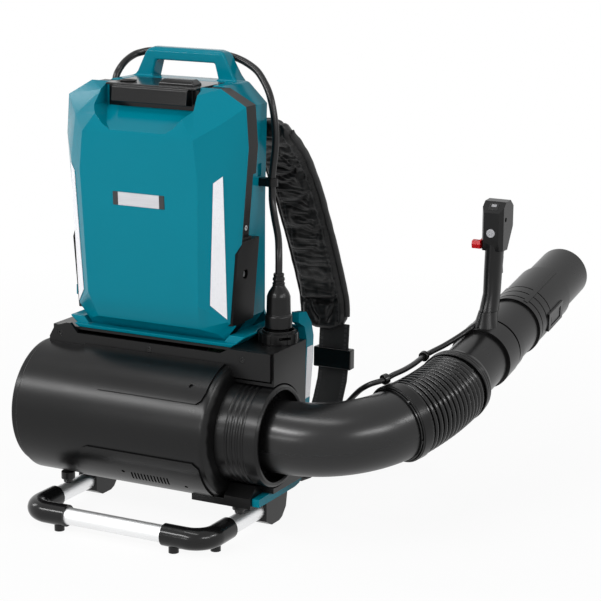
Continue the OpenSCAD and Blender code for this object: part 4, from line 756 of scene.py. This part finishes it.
# %% Shape of a strap pad
def strap_ring(distance, share):
    """The pad's section: flat faces and round sides, with share of its full width."""
    place, ahead = STRAP_LINE.at(distance)
    out = Vector((0, ahead.z, -ahead.y))
    ring = []
    for k in range(36):
        angle = 2 * math.pi * k / 36
        c, s = math.cos(angle), math.sin(angle)
        across = STRAP_HALF * share * math.copysign(abs(c) ** 0.32, c)
        thick = STRAP_THICK / 2 * share ** 0.5 * math.copysign(abs(s) ** 0.6, s)
        ring.append(Vector((STRAP_X + across, place.y, place.z)) + out * thick)
    return ring


def make_strap():
    """The bag of the right pad, with its corners rounded by STRAP_CORNER."""
    rings = []
    for d in np.linspace(0, STRAP_LINE.length, 70):
        inside = min(1.0, min(d, STRAP_LINE.length - d) / STRAP_CORNER)
        cut = STRAP_CORNER / STRAP_HALF * (1 - math.sqrt(max(0.0, 1 - (1 - inside) ** 2)))
        rings.append(strap_ring(d, max(0.3, 1 - cut)))
    return closed_band("strap_cushion_right", rings)


def strap_seam(place):
    """The side seams hold the bag at its long edges."""
    edge = STRAP_HALF - abs(place[0] - STRAP_X)
    return 1.0 if edge < 0.005 else 0.15


# %% Folds pressed into the pads
# Each fold: where it starts and ends (along, across), how far its middle sags, its depth and half its width
FOLDS = [
    ((58, 97), (90, 116), 0, 3.2, 4.0), ((92, 116), (110, 80), 4, 3.4, 4.4),
    ((123, 70), (109, 110), 7, 2.2, 5.0),
    ((157, 70), (138, 120), 11, 3.2, 6.0), ((178, 86), (164, 120), 5, 1.8, 4.4),
    ((201, 70), (178, 118), 11, 2.0, 6.4), ((222, 84), (204, 120), 6, 1.1, 5.0),
    ((241, 70), (218, 116), 9, 1.8, 6.8), ((270, 88), (252, 120), 5, 0.9, 6.0),
    ((296, 94), (282, 120), 4, 0.9, 6.0), ((321, 68), (314, 125), 3, 4.6, 5.0),
    ((327, 80), (352, 95), 0, 2.8, 4.4), ((325, 119), (350, 106), 0, 2.8, 4.4),
]
FOLD_STRENGTH = 1.5
GROOVE_X, GROOVE_DEPTH, GROOVE_HALF = 122.5, 2.0, 1.8


def fold_depth(along, across):
    """How deep the cloth lies below its full height at a place, in millimetres."""
    depth = GROOVE_DEPTH * math.exp(-((across - GROOVE_X) / GROOVE_HALF) ** 2)
    pucker = noise.noise(Vector((across * 0.12, along * 0.22, 3.1)))
    depth += 0.6 * pucker * math.exp(-((across - GROOVE_X + 4) / 4.5) ** 2)
    depth += 0.5 * noise.noise(Vector((across * 0.05, along * 0.11, 7.7)))
    for (d0, x0), (d1, x1), sag, deep, half in FOLDS:
        t = (across - x0) / (x1 - x0)
        if not 0 < t < 1:
            continue
        middle = d0 + (d1 - d0) * t + sag * 4 * t * (1 - t)
        ends = min(1.0, 3.2 * math.sin(math.pi * t))
        gap = along - middle
        valley = math.exp(-(gap / half) ** 2)
        roll = math.exp(-((gap + 2.3 * half) / (1.6 * half)) ** 2)
        depth += FOLD_STRENGTH * ends * deep * (valley - 0.5 * roll)
    return depth


def press_folds(piece, side):
    """Moves the cloth in along its normal; side is 1 for the right pad."""
    depths = []
    for vertex in piece.data.vertices:
        along = STRAP_LINE.nearest(vertex.co) / MM
        across = side * vertex.co.x / MM
        depths.append(vertex.normal.copy() * (fold_depth(along, across) * MM))
    for vertex, move in zip(piece.data.vertices, depths):
        vertex.co -= move
    piece.data.update()


right_strap = fill_bag(make_strap(), 0.0040, 3.4, 0.05, 0.004, strap_seam)
press_folds(right_strap, 1)
left_strap = right_strap.copy()
left_strap.data = right_strap.data.copy()
left_strap.name = "strap_cushion_left"
bpy.context.scene.collection.objects.link(left_strap)
take(left_strap)
left_strap.data.transform(Matrix.Scale(-1, 4, (1, 0, 0)))
left_strap.data.flip_normals()
for strap, node in ((right_strap, "strap_pad_right"), (left_strap, "strap_pad_left")):
    map_cloth(strap, lambda p: (STRAP_LINE.nearest(p), abs(p.x) - STRAP_X))
    strap.data.materials.append(strap_cloth)
    take(strap)
    bpy.ops.object.shade_smooth()
    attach(strap, "root")
    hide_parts(node)


# %% [markdown]
# ## Bound edges
# A tape is folded over the raw edges of each pad and sewn down. It is a slim rounded strip that runs along
# both long edges, a little thinner than the pad beside it.


# %% Tape along the pads' edges
TAPE_END, TAPE_WIDE, TAPE_HIGH = 0.019, 0.0026, 0.0058


def bind_edge(name, side, outer):
    """A slim strip along one long edge of a pad."""
    rings = []
    for d in np.linspace(TAPE_END, STRAP_LINE.length - TAPE_END, 64):
        place, ahead = STRAP_LINE.at(d)
        out = Vector((0, ahead.z, -ahead.y))
        middle = Vector((side * (STRAP_X + outer * (STRAP_HALF + 0.0002)), place.y, place.z))
        slim = 1 - 0.25 * noise.noise(Vector((d * 60, outer, side)))
        rings.append([middle + Vector((math.cos(a) * TAPE_WIDE, 0, 0)) + out * math.sin(a) * TAPE_HIGH * slim
                      for a in np.linspace(0, 2 * math.pi, 12, endpoint=False)])
    piece = closed_band(name, rings)
    map_cloth(piece, lambda p: (STRAP_LINE.nearest(p), p.x))
    piece.data.materials.append(binding_cloth)
    take(piece)
    bpy.ops.object.shade_smooth_by_angle(angle=math.radians(50))
    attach(piece, "root")
    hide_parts("strap_pad_right" if side > 0 else "strap_pad_left")
    return piece


for side, side_name in ((1, "right"), (-1, "left")):
    for outer, edge_name in ((1, "outer"), (-1, "inner")):
        bind_edge(f"strap_binding_{side_name}_{edge_name}", side, outer)
print("bound edges", 4)

# %% [markdown]
# ## Webbing
# The bands below the pads are flat webbing. They keep the shape of their solids, are tucked a little way into
# the pads, and get a surface map that runs along each band, so that the ribs of the weave follow its bends.

# %% Webbing with its surface map
WEB_TOP, TUCK = 0.2042, Vector((0, 0.0006, 0.009))
for node in ("webbing_right", "webbing_left"):
    band = clean_copy(node, node + "_woven")
    for vertex in band.data.vertices:
        if vertex.co.z > WEB_TOP:
            vertex.co += TUCK
    apply_modifier(band, "BEVEL", width=0.6 * MM, segments=2, limit_method="ANGLE", angle_limit=math.radians(50))
    map_cloth(band, lambda p: (WEB_LINE.nearest(p), abs(p.x) - WEB_X))
    band.data.materials.append(web_cloth)
    take(band)
    bpy.ops.object.shade_smooth_by_angle(angle=math.radians(40))
    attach(band, "root")
    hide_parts(node)
print("webbing bands", 2)

# %% [markdown]
# ## The back pad
# The pad that lies against the wearer's back is wider and sewn across in channels. It is filled like the
# straps, and the seams between the channels are pressed in afterwards.


# %% Back pad
pad_low, pad_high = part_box("back_pad")
PAD_HALF = (pad_high[0] - pad_low[0]) / 2 - 0.002
PAD_CORNER, PAD_THICK = 0.018, 0.015
CHANNEL_STEP, CHANNEL_DEPTH, EDGE_DEPTH = 46, 2.6, 2.2
BACK_LINE = Line([(pad_high[1] / MM - 9, pad_high[2] / MM - 2), (pad_high[1] / MM - 9, 380),
                  (pad_high[1] / MM - 9, 272), (113.3, 256), (116.5, 240), (115.5, 222), (114.3, 204),
                  (110.3, 178)])


def make_back_pad():
    """The bag of the back pad, with round corners at its ends."""
    rings = []
    for d in np.linspace(0, BACK_LINE.length, 60):
        place, ahead = BACK_LINE.at(d)
        out = Vector((0, ahead.z, -ahead.y))
        inside = min(1.0, min(d, BACK_LINE.length - d) / PAD_CORNER)
        share = 1 - PAD_CORNER / PAD_HALF * (1 - math.sqrt(max(0.0, 1 - (1 - inside) ** 2)))
        ring = []
        for k in range(40):
            c, s = math.cos(2 * math.pi * k / 40), math.sin(2 * math.pi * k / 40)
            across = PAD_HALF * share * math.copysign(abs(c) ** 0.25, c)
            thick = PAD_THICK / 2 * math.copysign(abs(s) ** 0.5, s)
            ring.append(Vector((across, place.y, place.z)) + out * thick)
        rings.append(ring)
    return closed_band("back_cushion", rings)


def press_channels(piece):
    """Seams across the pad, one every CHANNEL_STEP millimetres, and one round its edge."""
    moves = []
    for vertex in piece.data.vertices:
        along = BACK_LINE.nearest(vertex.co) / MM
        gap = (along + CHANNEL_STEP / 2) % CHANNEL_STEP - CHANNEL_STEP / 2
        edge = (PAD_HALF - abs(vertex.co.x)) / MM - 9
        deep = CHANNEL_DEPTH * math.exp(-(gap / 3.2) ** 2) if edge > 0 else 0.0
        deep = max(deep, EDGE_DEPTH * math.exp(-(edge / 2.4) ** 2))
        deep += 0.5 * noise.noise(Vector((vertex.co.x * 60, along * 0.12, 1.7)))
        moves.append(vertex.normal.copy() * (deep * MM))
    for vertex, move in zip(piece.data.vertices, moves):
        vertex.co -= move
    piece.data.update()


back_cushion = fill_bag(make_back_pad(), 0.0046, 3.0, 0.04, 0.0015,
                        lambda p: 1.0 if PAD_HALF - abs(p[0]) < 0.006 else 0.3)
press_channels(back_cushion)
map_cloth(back_cushion, lambda p: (BACK_LINE.nearest(p), p.x))
back_cushion.data.materials.append(binding_cloth)
take(back_cushion)
bpy.ops.object.shade_smooth()
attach(back_cushion, "root")
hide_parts("back_pad")
print("back pad", [round(float(v), 3) for v in pad_high], "line", round(BACK_LINE.length, 3))

# %% [markdown]
# ## Studio
# The floor and the surroundings are white where the camera or a reflection looks at them, and the floor
# keeps the soft shadow of the machine. Two large lamps shape the pack and the drum.

# %% Studio
bpy.context.scene.view_settings.view_transform = "Standard"


def seen_as_white(tree):
    """A wire that is 1 for camera, mirror and see-through rays."""
    path = tree.nodes.new("ShaderNodeLightPath")
    first = tree.nodes.new("ShaderNodeMath")
    first.operation = "MAXIMUM"
    tree.links.new(path.outputs["Is Camera Ray"], first.inputs[0])
    tree.links.new(path.outputs["Is Glossy Ray"], first.inputs[1])
    second = tree.nodes.new("ShaderNodeMath")
    second.operation = "MAXIMUM"
    tree.links.new(first.outputs[0], second.inputs[0])
    tree.links.new(path.outputs["Is Transmission Ray"], second.inputs[1])
    return second.outputs[0]


world = bpy.data.worlds.new("studio_world")
bpy.context.scene.world = world
world.use_nodes = True
tree = world.node_tree
sky = tree.nodes["Background"]
strength = tree.nodes.new("ShaderNodeMix")
tree.links.new(seen_as_white(tree), strength.inputs[0])
strength.inputs[2].default_value = 0.12
strength.inputs[3].default_value = 1.0
sky.inputs[0].default_value = (1, 1, 1, 1)
tree.links.new(strength.outputs[0], sky.inputs[1])

bpy.ops.mesh.primitive_plane_add(size=60, location=(0, 0, 0))
floor = bpy.context.active_object
floor.name = "studio_floor"
paint = bpy.data.materials.new("studio_floor_paint")
paint.use_nodes = True
tree = paint.node_tree
tree.nodes.remove(tree.nodes["Principled BSDF"])
matt = tree.nodes.new("ShaderNodeBsdfDiffuse")
matt.inputs[0].default_value = (0.85, 0.85, 0.85, 1)
glow = tree.nodes.new("ShaderNodeEmission")
blend = tree.nodes.new("ShaderNodeMixShader")
spot = tree.nodes.new("ShaderNodeTexCoord")
reach = tree.nodes.new("ShaderNodeVectorMath")
reach.operation = "LENGTH"
tree.links.new(spot.outputs["Object"], reach.inputs[0])
level = tree.nodes.new("ShaderNodeMapRange")
for socket, value in zip(("From Min", "From Max", "To Min", "To Max"), (0.4, 1.6, 0.93, 1.0)):
    level.inputs[socket].default_value = value
tree.links.new(reach.outputs["Value"], level.inputs["Value"])
share = tree.nodes.new("ShaderNodeMath")
share.operation = "MULTIPLY"
tree.links.new(level.outputs[0], share.inputs[1])
tree.links.new(seen_as_white(tree), share.inputs[0])
tree.links.new(share.outputs[0], blend.inputs[0])
tree.links.new(matt.outputs[0], blend.inputs[1])
tree.links.new(glow.outputs[0], blend.inputs[2])
tree.links.new(blend.outputs[0], tree.nodes["Material Output"].inputs[0])
floor.data.materials.append(paint)


def lamp(name, place, target, size, power):
    """A square soft box that faces its target."""
    light = bpy.data.lights.new(name, "AREA")
    light.shape = "RECTANGLE"
    light.size, light.size_y = size
    light.energy = power
    thing = bpy.data.objects.new(name, light)
    bpy.context.scene.collection.objects.link(thing)
    thing.location = place
    thing.rotation_euler = (Vector(target) - Vector(place)).to_track_quat("-Z", "Y").to_euler()


lamp("key_strip", (-1.4, -2.7, 2.2), (0, 0, 0.25), (3.0, 0.34), 79)
lamp("left_strip", (-2.9, -0.2, 1.5), (0, 0, 0.3), (0.5, 1.0), 13)
lamp("right_strip", (2.5, -1.3, 1.4), (0.25, 0, 0.25), (1.4, 0.3), 22)
lamp("front_strip", (-0.8, -3.2, 0.9), (0, 0, 0.15), (1.4, 0.2), 9)
lamp("top_strip", (-0.3, -0.8, 2.9), (0, 0, 0.2), (2.2, 0.3), 18)
lamp("rim_strip", (2.9, 0.3, 1.7), (0.3, 0.2, 0.3), (1.2, 0.25), 18)
